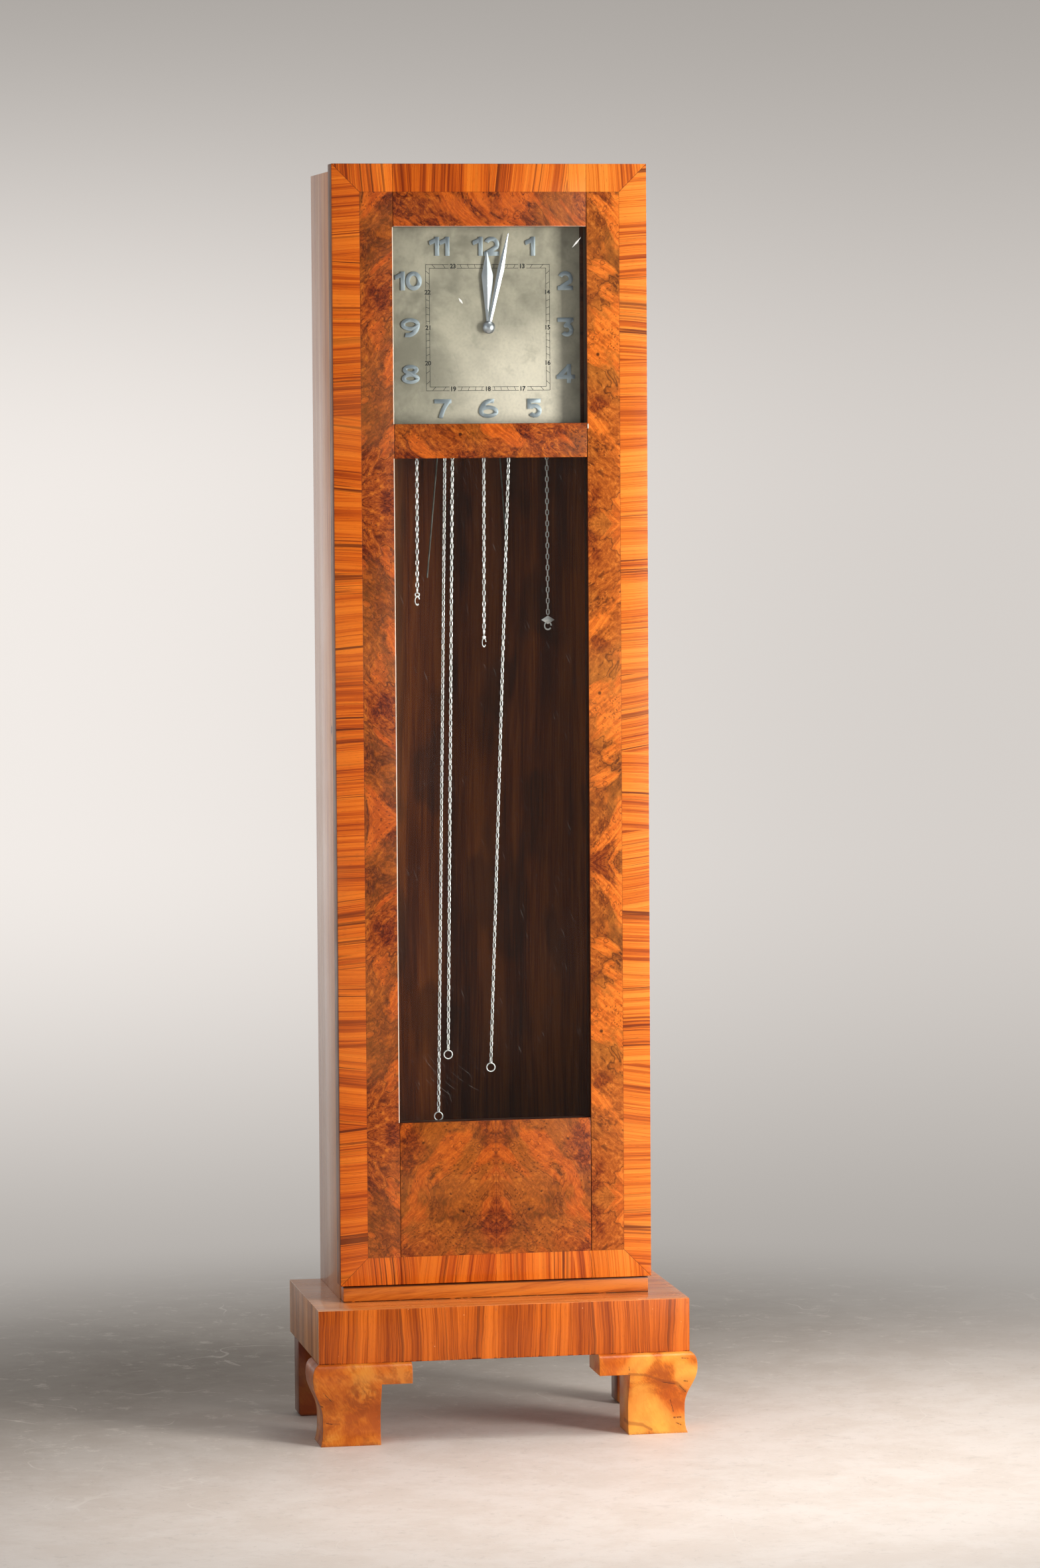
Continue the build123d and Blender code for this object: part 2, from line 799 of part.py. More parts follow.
def make_plates():
    front = block(plate_left, plate_right, front_plate_front, front_plate_back, plate_bottom, plate_top)
    back = block(plate_left, plate_right, back_plate_front, back_plate_back, plate_bottom, plate_top)
    for x, z in plate_pivots():
        front -= pivot_hole(x, z, pivot_radius, front_plate_front, front_plate_back)
        if (x, z) != (centre_x, anchor_z):
            back -= pivot_hole(x, z, pivot_radius, back_plate_front, back_plate_back)
    front -= pivot_hole(centre_x, centre_z, arbor_radius, front_plate_front, front_plate_back)
    back -= pivot_hole(centre_x, centre_z, pivot_radius, back_plate_front, back_plate_back)
    back -= pivot_hole(centre_x, anchor_z, arbor_radius, back_plate_front, back_plate_back)
    back -= pivot_hole(hammer_axis_x, hammer_axis_z, pivot_radius, back_plate_front, back_plate_back)
    stud_front = hour_layer[0] - 2 * pinion_margin
    front += spindle(minute_stud_radius, minute_stud_x, minute_stud_z, stud_front, front_plate_front)
    parts["front_plate"] = front
    parts["back_plate"] = back


def make_pillars():
    """Five pillars between the plates, each with its nut behind the back plate."""
    left = plate_left + pillar_margin
    right = plate_right - pillar_margin
    low = plate_bottom + pillar_margin
    high = plate_top - pillar_margin
    between = (great_x + trains["chime"]["x"]) / 2
    pieces = []
    for x, z in ((left, low), (right, low), (left, high), (right, high), (between, low)):
        pieces.append(spindle(pillar_radius, x, z, front_plate_back, back_plate_front))
        nut = RegularPolygon(pillar_nut_radius, 6)
        pieces.append(along_y(nut, x, z, back_plate_back, back_plate_back + pillar_nut_height))
    parts["plate_pillars"] = group(*pieces)


def make_great_wheels():
    """Three great wheels on their arbors; the going one drives the intermediate pinion."""
    for name, train in trains.items():
        x = train["x"]
        if name == "going":
            outline = spoked_wheel(great_teeth, great_module, great_turn)
            y0, y1 = great_layer
        else:
            outline = spoked_wheel(side_great_teeth, side_great_module)
            y0, y1 = side_great_layer
        wheel = along_y(outline, x, sprocket_z, y0, y1)
        hub = spindle(wheel_hub_radius, x, sprocket_z, y0, y1 + wheel_hub_rise)
        parts[name + "_great_wheel"] = wheel + hub + arbor(x, sprocket_z, great_arbor_radius)


def make_sprockets():
    """Chain wheels loose on the great arbors, each with two flanges and a ratchet."""
    for name, train in trains.items():
        x = train["x"]
        drum_radius = train["radius"] - chain_width / 2 - chain_clearance
        flange_radius = train["radius"] + sprocket_flange_rise
        wheel = spindle(drum_radius, x, sprocket_z, sprocket_front, sprocket_back)
        for y0 in (sprocket_front, sprocket_back - sprocket_flange):
            wheel += spindle(flange_radius, x, sprocket_z, y0, y0 + sprocket_flange)
        saw = toothed(ratchet_teeth, ratchet_radius - ratchet_depth, ratchet_radius, 0.9, 0.1, 0.0, 0.35)
        end = sprocket_back + ratchet_thickness
        wheel += along_y(saw, x, sprocket_z, sprocket_back, end)
        bore = spindle(great_arbor_radius + running_clearance, x, sprocket_z, sprocket_front, end)
        parts[name + "_sprocket"] = wheel - bore


def pinion(leaves, module, turn, x, z, mate):
    """A pinion a little longer than the wheel that drives it."""
    outline = pinion_outline(leaves, module, turn)
    return along_y(outline, x, z, mate[0] - pinion_margin, mate[1] + pinion_margin)


def make_going_train():
    line = clock_angle(great_x, sprocket_z, intermediate_x, intermediate_z)
    turn = meshing_turn(great_teeth, great_turn, intermediate_leaves, line)
    outline = spoked_wheel(intermediate_teeth, intermediate_module, turn)
    wheel = along_y(outline, intermediate_x, intermediate_z, *intermediate_layer)
    wheel += pinion(intermediate_leaves, great_module, turn, intermediate_x, intermediate_z, great_layer)
    parts["intermediate_wheel"] = wheel + arbor(intermediate_x, intermediate_z, arbor_radius)

    line = clock_angle(intermediate_x, intermediate_z, centre_x, centre_z)
    turn = meshing_turn(intermediate_teeth, turn, centre_leaves, line)
    outline = spoked_wheel(centre_teeth, centre_module, turn)
    wheel = along_y(outline, centre_x, centre_z, *centre_layer)
    wheel += pinion(centre_leaves, intermediate_module, turn, centre_x, centre_z, intermediate_layer)
    shoulder = back_plate_front - end_shake
    wheel += spindle(arbor_radius, centre_x, centre_z, minute_hand_front, shoulder)
    wheel += spindle(pivot_radius, centre_x, centre_z, shoulder, back_plate_back)
    parts["centre_wheel"] = wheel

    line = clock_angle(centre_x, centre_z, third_x, third_z)
    turn = meshing_turn(centre_teeth, turn, third_leaves, line)
    outline = spoked_wheel(third_teeth, third_module, turn)
    wheel = along_y(outline, third_x, third_z, *third_layer)
    wheel += pinion(third_leaves, centre_module, turn, third_x, third_z, centre_layer)
    parts["third_wheel"] = wheel + arbor(third_x, third_z, light_arbor_radius)

    line = clock_angle(third_x, third_z, centre_x, escape_z)
    turn = meshing_turn(third_teeth, turn, escape_leaves, line)
    saw = toothed(escape_teeth, escape_radius - escape_depth, escape_radius, 0.7, 0.08, turn, 0.3)
    outline = crossed_out(saw, escape_radius - escape_depth - escape_rim)
    wheel = along_y(outline, centre_x, escape_z, *escape_layer)
    wheel += pinion(escape_leaves, third_module, turn, centre_x, escape_z, third_layer)
    parts["escape_wheel"] = wheel + arbor(centre_x, escape_z, light_arbor_radius)


def make_anchor():
    """The anchor with its arbor, and the crutch that hangs behind the back plate."""
    y0 = escape_layer[0] - pinion_margin
    y1 = escape_layer[1] + pinion_margin
    inner = escape_radius + anchor_clearance
    outer = inner + anchor_band
    sector = Polygon((0, 0), (outer, outer), (-outer, outer), align=None)
    anchor = along_y((Circle(outer) - Circle(inner)) & sector, centre_x, escape_z, y0, y1)
    half = anchor_stem_width / 2
    anchor += block(
        centre_x - half, centre_x + half, y0, y1, escape_z + inner + anchor_band / 2, anchor_z
    )
    crutch_back = back_plate_back + crutch_gap + crutch_thickness
    shoulder = front_plate_back + end_shake
    anchor += spindle(arbor_radius, centre_x, anchor_z, shoulder, crutch_back)
    anchor += spindle(pivot_radius, centre_x, anchor_z, front_plate_front, shoulder)
    half = crutch_width / 2
    fork_top = anchor_z - crutch_length
    crutch_front = crutch_back - crutch_thickness
    anchor += block(centre_x - half, centre_x + half, crutch_front, crutch_back, fork_top, anchor_z)
    half = fork_width / 2
    parts["anchor"] = anchor + block(
        centre_x - half,
        centre_x + half,
        crutch_front,
        crutch_front + fork_reach,
        fork_top - fork_height,
        fork_top,
    )


def make_cock():
    """The cock on the back plate, with the suspension spring that the pendulum hangs from."""
    low = anchor_z + cock_rise
    foot_back = back_plate_back + cock_foot_thickness
    half = cock_foot_width / 2
    cock = block(centre_x - half, centre_x + half, back_plate_back, foot_back, low, plate_top)
    arm_low = low + cock_arm_rise
    arm_high = arm_low + cock_arm_height
    arm_back = foot_back + cock_reach
    half = cock_arm_width / 2
    cock += block(centre_x - half, centre_x + half, foot_back, arm_back, arm_low, arm_high)
    slot_front = arm_back - cock_slot_depth
    half = spring_thickness / 2 + spring_slot_clearance
    cock -= block(centre_x - half, centre_x + half, slot_front, arm_back, arm_low, arm_high)
    half = spring_thickness / 2
    spring_back = arm_back - (cock_slot_depth - spring_width) / 2
    spring_front = spring_back - spring_width
    spring_end = arm_high - spring_length
    spring = block(centre_x - half, centre_x + half, spring_front, spring_back, spring_end, arm_high)
    pin = spindle(spring_pin_radius, centre_x, spring_end, slot_front, arm_back)
    parts["pendulum_cock"] = group(cock, spring + pin)


def make_motion_work():
    """The cannon pinion, the minute wheel on its stud and the hour wheel, in front of the plates."""
    turn = minute_hand_angle
    outline = pinion_outline(cannon_leaves, cannon_module, turn)
    cannon = along_y(outline, centre_x, centre_z, *cannon_layer)
    cannon += spindle(cannon_pipe_radius, centre_x, centre_z, minute_hand_front, cannon_layer[1])
    bore = spindle(arbor_radius, centre_x, centre_z, minute_hand_front, cannon_layer[1])
    parts["cannon_pinion"] = cannon - bore

    line = clock_angle(centre_x, centre_z, minute_stud_x, minute_stud_z)
    turn = meshing_turn(cannon_leaves, turn, minute_wheel_teeth, line)
    outline = wheel_outline(minute_wheel_teeth, cannon_module, turn)
    wheel = along_y(outline, minute_stud_x, minute_stud_z, *cannon_layer)
    front = hour_layer[0] - pinion_margin
    outline = pinion_outline(minute_leaves, hour_module, turn)
    wheel += along_y(outline, minute_stud_x, minute_stud_z, front, cannon_layer[0])
    hole = minute_stud_radius + running_clearance
    bore = spindle(hole, minute_stud_x, minute_stud_z, front, cannon_layer[1])
    parts["minute_wheel"] = wheel - bore

    line = clock_angle(minute_stud_x, minute_stud_z, centre_x, centre_z)
    turn = meshing_turn(minute_leaves, turn, hour_teeth, line)
    outline = wheel_outline(hour_teeth, hour_module, turn)
    wheel = along_y(outline, centre_x, centre_z, *hour_layer)
    wheel += spindle(hour_pipe_radius, centre_x, centre_z, hour_hand_front, hour_layer[1])
    hole = cannon_pipe_radius + running_clearance
    parts["hour_wheel"] = wheel - spindle(hole, centre_x, centre_z, hour_hand_front, hour_layer[1])


# ---------------------------------------------------------------- dial and hands
def make_dial():
    half = dial_size / 2
    plate = block(centre_x - half, centre_x + half, dial_face, dial_back, centre_z - half, centre_z + half)
    plate -= spindle(dial_hole_radius, centre_x, centre_z, dial_face, dial_back)
    for side in (-1, 1):
        for level in (-1, 1):
            x = centre_x + side * dial_post_x
            z = centre_z + level * dial_post_z
            plate += spindle(dial_post_radius, x, z, dial_back, front_plate_front)
    parts["dial_plate"] = plate


def triangle(a, b, c):
    """A flat three-cornered face."""
    return Face(Wire.make_polygon([a, b, c], close=True))


def blade(length, width, widest):
    """A long lozenge with a ridge down its middle, drawn flat with its back at zero."""
    sections = ((0.0, hand_root_width, 0.5), (widest, width, 1.0), (length, hand_tip_width, 0.25))
    outline = [(-across / 2, along) for along, across, _ in sections]
    outline += [(across / 2, along) for along, across, _ in reversed(sections)]
    flat = extrude(Polygon(*outline, align=None), hand_thickness, dir=(0, 0, 1))
    rows = []
    for along, across, share in sections:
        ridge = (0, along, hand_thickness + share * hand_ridge)
        rows.append(((-across / 2, along, hand_thickness), ridge, (across / 2, along, hand_thickness)))
    shell = [triangle(*rows[0]), triangle(*rows[-1])]
    floor = [row[0] for row in rows] + [row[2] for row in reversed(rows)]
    shell.append(Face(Wire.make_polygon(floor, close=True)))
    for near, far in zip(rows, rows[1:]):
        for side in (0, 2):
            shell.append(triangle(near[side], near[1], far[1]))
            shell.append(triangle(near[side], far[1], far[side]))
    return flat + Solid(Shell(shell))


def make_hand(shape, angle, back, hub_radius, bore_radius, front):
    """A hand turned to its place, with the hub that sits on its pipe."""
    place = Plane(origin=(centre_x, back, centre_z), x_dir=(1, 0, 0), z_dir=(0, -1, 0))
    hand = place * (Rot(0, 0, -angle) * shape)
    hand += spindle(hub_radius, centre_x, centre_z, front, back)
    return hand - spindle(bore_radius, centre_x, centre_z, front, back)


def boss():
    """The round cap over the middle of the hands."""
    radius = (boss_radius ** 2 + boss_height ** 2) / (2 * boss_height)
    sweep = degrees(atan2(boss_radius, radius - boss_height))
    dome = JernArc((0, -boss_height), (1, 0), radius, sweep)
    profile = make_face(dome + Polyline((boss_radius, 0), (0, 0), (0, -boss_height)))
    return Pos(centre_x, minute_hand_front, centre_z) * revolve(profile, Axis.Y)


def make_hands():
    parts["hour_hand"] = make_hand(
        blade(hour_hand_length, hour_hand_width, hour_hand_widest),
        hour_hand_angle,
        hour_hand_back,
        hour_pipe_radius + hand_hub_wall,
        hour_pipe_radius,
        hour_hand_front,
    )
    minute = make_hand(
        blade(minute_hand_length, minute_hand_width, minute_hand_widest),
        minute_hand_angle,
        minute_hand_back,
        cannon_pipe_radius + hand_hub_wall,
        cannon_pipe_radius,
        minute_hand_front,
    )
    parts["minute_hand"] = minute + boss()


def stroke(line):
    """A stroke of a numeral along a line."""
    return trace(line, numeral_stroke)


def digit(value):
    """One geometric numeral, drawn about its own middle and cut square at its edges."""
    edge = numeral_stroke / 2
    side = numeral_shares[value] * numeral_height / 2
    top = numeral_height / 2
    w = side - edge
    h = top - edge
    if value == 0:
        shape = Ellipse(side, top) - Ellipse(side - numeral_stroke, top - numeral_stroke)
    elif value == 1:
        flag = Line((w, h * 0.9), (-side, h * 0.42))
        shape = Pos(w, 0) * Rectangle(numeral_stroke, 2 * top) + stroke(flag)
    elif value == 2:
        bow = CenterArc((0, h - w), w, -25, 180)
        slope = Line(bow @ 0, (-w * 0.8, -h * 0.9))
        shape = stroke(bow) + stroke(slope) + Pos(bow @ 0) * Circle(edge)
        shape += Pos(0, -h) * Rectangle(2 * side, numeral_stroke)
    elif value == 3:
        reach = h * 0.62
        bar_top = Pos(0, h) * Rectangle(2 * side, numeral_stroke)
        bowl = CenterArc((w - reach, reach - h), reach, 105, -250)
        slope = Line((w, h), bowl @ 0)
        shape = bar_top + stroke(slope) + Pos(bowl @ 0) * Circle(edge) + stroke(bowl)
    elif value == 4:
        post = Pos(w * 0.45, 0) * Rectangle(numeral_stroke, 2 * top)
        beam = Pos(0, -h * 0.45) * Rectangle(2 * side, numeral_stroke)
        slope = Line((w * 0.45, h), (-w, -h * 0.45))
        shape = post + beam + stroke(slope)
    elif value == 5:
        reach = h * 0.66
        bowl = CenterArc((w - reach, reach - h), reach, 145, -290)
        post_x = (bowl @ 0).X - edge * 0.7
        bar_top = Pos((post_x - edge + side) / 2, h) * Rectangle(side - post_x, numeral_stroke)
        post = Pos(post_x, top * 0.46) * Rectangle(numeral_stroke, top * 1.08)
        shape = bar_top + post + stroke(bowl)
    elif value == 7:
        leg = ThreePointArc((w * 0.9, h), (w * 0.1, -h * 0.1), (-w * 0.35, -top))
        shape = Pos(0, h) * Rectangle(2 * side, numeral_stroke) + stroke(leg)
    elif value == 8:
        low = Ellipse(side, top * 0.56) - Ellipse(side - numeral_stroke, top * 0.56 - edge * 1.6)
        upper_side = side * 0.88
        high = Ellipse(upper_side, top * 0.52) - Ellipse(upper_side - numeral_stroke, top * 0.52 - edge * 1.6)
        shape = Pos(0, -top * 0.44) * low + Pos(0, top * 0.48) * high
    else:
        ring = Ellipse(side, top * 0.66) - Ellipse(side - numeral_stroke, top * 0.66 - edge * 1.8)
        tail = ThreePointArc((-w, -h * 0.4), (-w * 0.45, h * 0.72), (w * 0.7, h))
        shape = Pos(0, -top * 0.34) * ring + stroke(tail)
    shape = shape & Rectangle(2 * side, 2 * top)
    return Rot(0, 0, 180) * shape if value == 9 else shape


def make_numerals():
    """Twelve raised numerals, each placed by its middle from the dial centre."""
    row = numeral_row
    column = numeral_column
    step = numeral_step
    half = numeral_pair_pitch / 2
    ten = -column - numeral_ten_outset
    eleven = -step - numeral_eleven_outset
    twelve = -numeral_twelve_shift
    figures = [
        ("1", step - numeral_one_inset, row),
        ("2", column, step),
        ("3", column, 0.0),
        ("4", column, -step),
        ("5", step - numeral_five_inset, -row),
        ("6", 0.0, -row),
        ("7", -step, -row),
        ("8", -column, -step),
        ("9", -column, 0.0),
        ("1", ten - half, step),
        ("0", ten + half, step),
        ("1", eleven - numeral_eleven_pitch / 2, row),
        ("1", eleven + numeral_eleven_pitch / 2, row),
        ("1", twelve - half, row),
        ("2", twelve + half, row),
    ]
    pieces = []
    for figure, x, z in figures:
        shape = digit(int(figure))
        pieces.append(along_y(shape, centre_x + x, centre_z + z, numeral_front, dial_face))
    parts["dial_numerals"] = group(*pieces)


# ---------------------------------------------------------------- chains
def hook_shape(x, top):
    """A weight hook that hangs from the end of a chain: a small plate and a round bow."""
    half = hook_plate_width / 2
    middle = top - hook_plate_height / 2
    foot = half / 2
    plate = Polygon(
        (-half, -hook_plate_height / 5),
        (-foot, -hook_plate_height / 2),
        (foot, -hook_plate_height / 2),
        (half, -hook_plate_height / 5),
        (0, hook_plate_height / 2),
        align=None,
    )
    y0 = chain_y - hook_plate_thickness / 2
    hook = along_y(plate, x, middle, y0, y0 + hook_plate_thickness)
    bow_z = top - hook_plate_height - hook_bow_radius + hook_wire
    return hook + Pos(x, chain_y, bow_z) * Rot(90, 0, 0) * Torus(hook_bow_radius, hook_wire)


def make_chains():
    """Each fall is one round bar of the chain's outer size, with its hook or its ring."""
    hook_length = hook_plate_height + 2 * hook_bow_radius
    for name, train in trains.items():
        for side in (-1, 1):
            x, lean, end_z = chain_run(train, side)
            is_hook = side == train["hook_side"]
            chain_end = end_z + (hook_length if is_hook else 2 * (ring_radius - hook_wire))
            shift = lean * (sprocket_z - chain_end) / (sprocket_z - end_z)
            fall = bar((x, chain_y, sprocket_z), (x + shift, chain_y, chain_end), chain_width / 2)
            if is_hook:
                fitting = hook_shape(x + shift, chain_end + hook_wire)
            else:
                centre = (x + lean, chain_y, end_z + ring_radius)
                fitting = Pos(*centre) * Rot(90, 0, 0) * Torus(ring_radius - hook_wire, hook_wire)
            kind = "hook" if is_hook else "ring"
            parts[f"{name}_chain_{kind}"] = fall + fitting


# ---------------------------------------------------------------- gong and hammers
gong_rods = (
    dict(top=gong_left_x, slope=gong_left_slope, end=gong_block_bottom - gong_left_length),
    dict(top=gong_right_x, slope=gong_right_slope, end=gong_block_bottom - gong_right_length),
)


def gong_x(rod, z):
    """Where a fanned gong rod is at a height."""
    return rod["top"] + rod["slope"] * (gong_block_bottom - z)


def make_gong():
    middle = (gong_rods[0]["top"] + gong_rods[1]["top"]) / 2
    half = gong_block_width / 2
    pieces = [
        block(middle - half, middle + half, gong_block_front, inner_back, gong_block_bottom, gong_block_top)
    ]
    for rod in gong_rods:
        start = (gong_x(rod, gong_block_bottom), gong_y, gong_block_bottom)
        end = (gong_x(rod, rod["end"]), gong_y, rod["end"])
        pieces.append(bar(start, end, gong_rod_radius))
    parts["rod_gong"] = group(*pieces)


def make_hammers():
    """Two hammers on one arbor behind the movement, each lying just off its gong rod."""
    arm_y = gong_block_front - hammer_setback
    shoulder = back_plate_back + end_shake
    arm_back = arm_y + 2 * hammer_arm_radius
    hammers = spindle(arbor_radius, hammer_axis_x, hammer_axis_z, shoulder, arm_back)
    hammers += spindle(pivot_radius, hammer_axis_x, hammer_axis_z, back_plate_front, shoulder)
    for rod in gong_rods:
        face = gong_x(rod, hammer_strike_z) - gong_rod_radius - hammer_gap
        middle = face - hammer_head_length / 2
        arm_end = (middle, arm_y, hammer_strike_z)
        hammers += bar((hammer_axis_x, arm_y, hammer_axis_z), arm_end, hammer_arm_radius)
        stem_start = (middle, arm_y - hammer_arm_radius, hammer_strike_z)
        hammers += bar(stem_start, (middle, gong_y, hammer_strike_z), hammer_head_stem)
        head_start = (face - hammer_head_length, gong_y, hammer_strike_z)
        hammers += bar(head_start, (face, gong_y, hammer_strike_z), hammer_head_radius)
    parts["gong_hammers"] = hammers


# ---------------------------------------------------------------- build
make_feet()
make_plinth()
make_case()
make_seat()
make_mask()
make_door()
make_glazing()
make_hinges()
make_catch()
make_plates()
make_pillars()
make_great_wheels()
make_sprockets()
make_going_train()
make_anchor()
make_cock()
make_motion_work()
make_dial()
make_hands()
make_numerals()
make_chains()
make_gong()
make_hammers()

os.makedirs("parts", exist_ok=True)
for name, solid in parts.items():
    export_step(solid, f"parts/{name}.step")
print(len(parts), "nodes")
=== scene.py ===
"""The looks of a walnut longcase clock of about 1930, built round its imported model."""
from __future__ import annotations

import logging
import math
import random
from dataclasses import dataclass, field
from enum import Enum
from typing import Any, Callable, Iterable, Sequence, Union

import bmesh
import bpy
from mathutils import Matrix, Vector

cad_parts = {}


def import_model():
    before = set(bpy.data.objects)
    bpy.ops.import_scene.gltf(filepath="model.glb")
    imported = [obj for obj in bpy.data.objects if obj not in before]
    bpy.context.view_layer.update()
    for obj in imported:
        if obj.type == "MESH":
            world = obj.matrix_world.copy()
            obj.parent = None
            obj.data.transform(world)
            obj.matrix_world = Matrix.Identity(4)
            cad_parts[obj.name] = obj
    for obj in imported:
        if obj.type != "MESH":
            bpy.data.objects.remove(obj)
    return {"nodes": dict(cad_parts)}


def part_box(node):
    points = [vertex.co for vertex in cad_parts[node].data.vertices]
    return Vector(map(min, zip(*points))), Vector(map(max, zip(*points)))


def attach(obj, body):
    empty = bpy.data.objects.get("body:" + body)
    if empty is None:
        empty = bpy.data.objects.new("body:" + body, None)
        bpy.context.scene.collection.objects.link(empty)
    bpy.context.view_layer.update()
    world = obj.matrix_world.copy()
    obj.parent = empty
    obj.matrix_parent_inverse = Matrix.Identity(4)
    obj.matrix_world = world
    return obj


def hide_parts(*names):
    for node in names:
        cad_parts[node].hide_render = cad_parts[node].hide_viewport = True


LOG = logging.getLogger("longcase_clock")

Colour = tuple[float, float, float, float]
Number = Union[float, "Value"]
Mesh = bmesh.types.BMesh
Piece = bpy.types.Object
Finish = bpy.types.Material
Nodes = dict[str, Piece]

SURFACE_SOCKETS = {
    "roughness": "Roughness",
    "normal": "Normal",
    "metallic": "Metallic",
    "coat": "Coat Weight",
    "coat_roughness": "Coat Roughness",
    "specular": "Specular IOR Level",
}


def paint(red: int, green: int, blue: int) -> Colour:
    """Turns a colour given as 0 to 255 on a screen into the linear one that a shader takes.

    Args:
        red: Red part.
        green: Green part.
        blue: Blue part.

    Returns:
        Linear red, green, blue and full alpha.
    """
    parts = []
    for part in (red, green, blue):
        share = part / 255.0
        parts.append(share / 12.92 if share <= 0.04045 else ((share + 0.055) / 1.055) ** 2.4)
    return (parts[0], parts[1], parts[2], 1.0)


# ---- sizes from the frame
class Side(Enum):
    """A side of a CAD node's box: which of its corners, and which axis."""

    LEFT = (0, "x")
    RIGHT = (1, "x")
    FRONT = (0, "y")
    BACK = (1, "y")
    FOOT = (0, "z")
    HEAD = (1, "z")


def side_of(node: str, side: Side) -> float:
    """Where one side of a CAD node's box is."""
    corner, axis = side.value
    return getattr(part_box(node)[corner], axis)


def at_side(node: str, side: Side) -> Any:
    """Makes a dataclass field that reads one side of a CAD node's box when the frame is loaded."""
    return field(default_factory=lambda: side_of(node, side))


def middle_of(node: str) -> Vector:
    """Middle of a CAD node's box."""
    low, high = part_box(node)
    return (low + high) / 2


# ---- shader maths
class Value:
    """One output of a shader node; arithmetic on it adds Math nodes."""

    def __init__(self, graph: Graph, socket: bpy.types.NodeSocket) -> None:
        """Keeps the tree and the output that it stands for."""
        self.graph = graph
        self.socket = socket

    def math(self, operation: str, *terms: Number) -> Value:
        """Adds a Math node, its inputs in order."""
        return self.graph.add("ShaderNodeMath", {"operation": operation}, dict(enumerate(terms)))

    def __add__(self, other: Number) -> Value:
        """Sum."""
        return self.math("ADD", self, other)

    def __radd__(self, other: Number) -> Value:
        """Sum, the other term first."""
        return self.math("ADD", other, self)

    def __sub__(self, other: Number) -> Value:
        """Difference."""
        return self.math("SUBTRACT", self, other)

    def __rsub__(self, other: Number) -> Value:
        """Difference, the other term first."""
        return self.math("SUBTRACT", other, self)

    def __mul__(self, other: Number) -> Value:
        """Product."""
        return self.math("MULTIPLY", self, other)

    def __rmul__(self, other: Number) -> Value:
        """Product, the other term first."""
        return self.math("MULTIPLY", other, self)

    def __truediv__(self, other: Number) -> Value:
        """Quotient."""
        return self.math("DIVIDE", self, other)

    def __rtruediv__(self, other: Number) -> Value:
        """Quotient, the other term first."""
        return self.math("DIVIDE", other, self)

    def __neg__(self) -> Value:
        """Opposite."""
        return self.math("MULTIPLY", self, -1.0)

    def __abs__(self) -> Value:
        """Absolute value."""
        return self.math("ABSOLUTE", self)

    def floor(self) -> Value:
        """Whole part."""
        return self.math("FLOOR", self)

    def fraction(self) -> Value:
        """Part after the point."""
        return self.math("FRACT", self)

    def least(self, other: Number) -> Value:
        """Smaller of the two."""
        return self.math("MINIMUM", self, other)

    def most(self, other: Number) -> Value:
        """Larger of the two."""
        return self.math("MAXIMUM", self, other)

    def root(self) -> Value:
        """Square root."""
        return self.math("SQRT", self)

    def folded(self, length: float) -> Value:
        """Runs up and down between 0 and a length, as leaves of veneer opened like a book do."""
        return self.math("PINGPONG", self, length)

    def rise(self, low: float, high: float) -> Value:
        """Goes smoothly from 0 at the low value to 1 at the high one."""
        settings = {"interpolation_type": "SMOOTHSTEP"}
        return self.graph.add("ShaderNodeMapRange", settings, {0: self, 1: low, 2: high, 3: 0.0, 4: 1.0})

    def fall(self, low: float, high: float) -> Value:
        """The opposite of rise: 1 at the low value and 0 at the high one."""
        return 1.0 - self.rise(low, high)

    def line(self, level: float, width: float) -> Value:
        """Is 1 where the number is at a level and fades to 0 a width away."""
        return abs(self - level).fall(width * 0.35, width)


@dataclass(frozen=True)
class Mark:
    """A short straight mark on a face, such as a check in the wood or a chip."""

    start: tuple[float, float]
    end: tuple[float, float]
    width: float


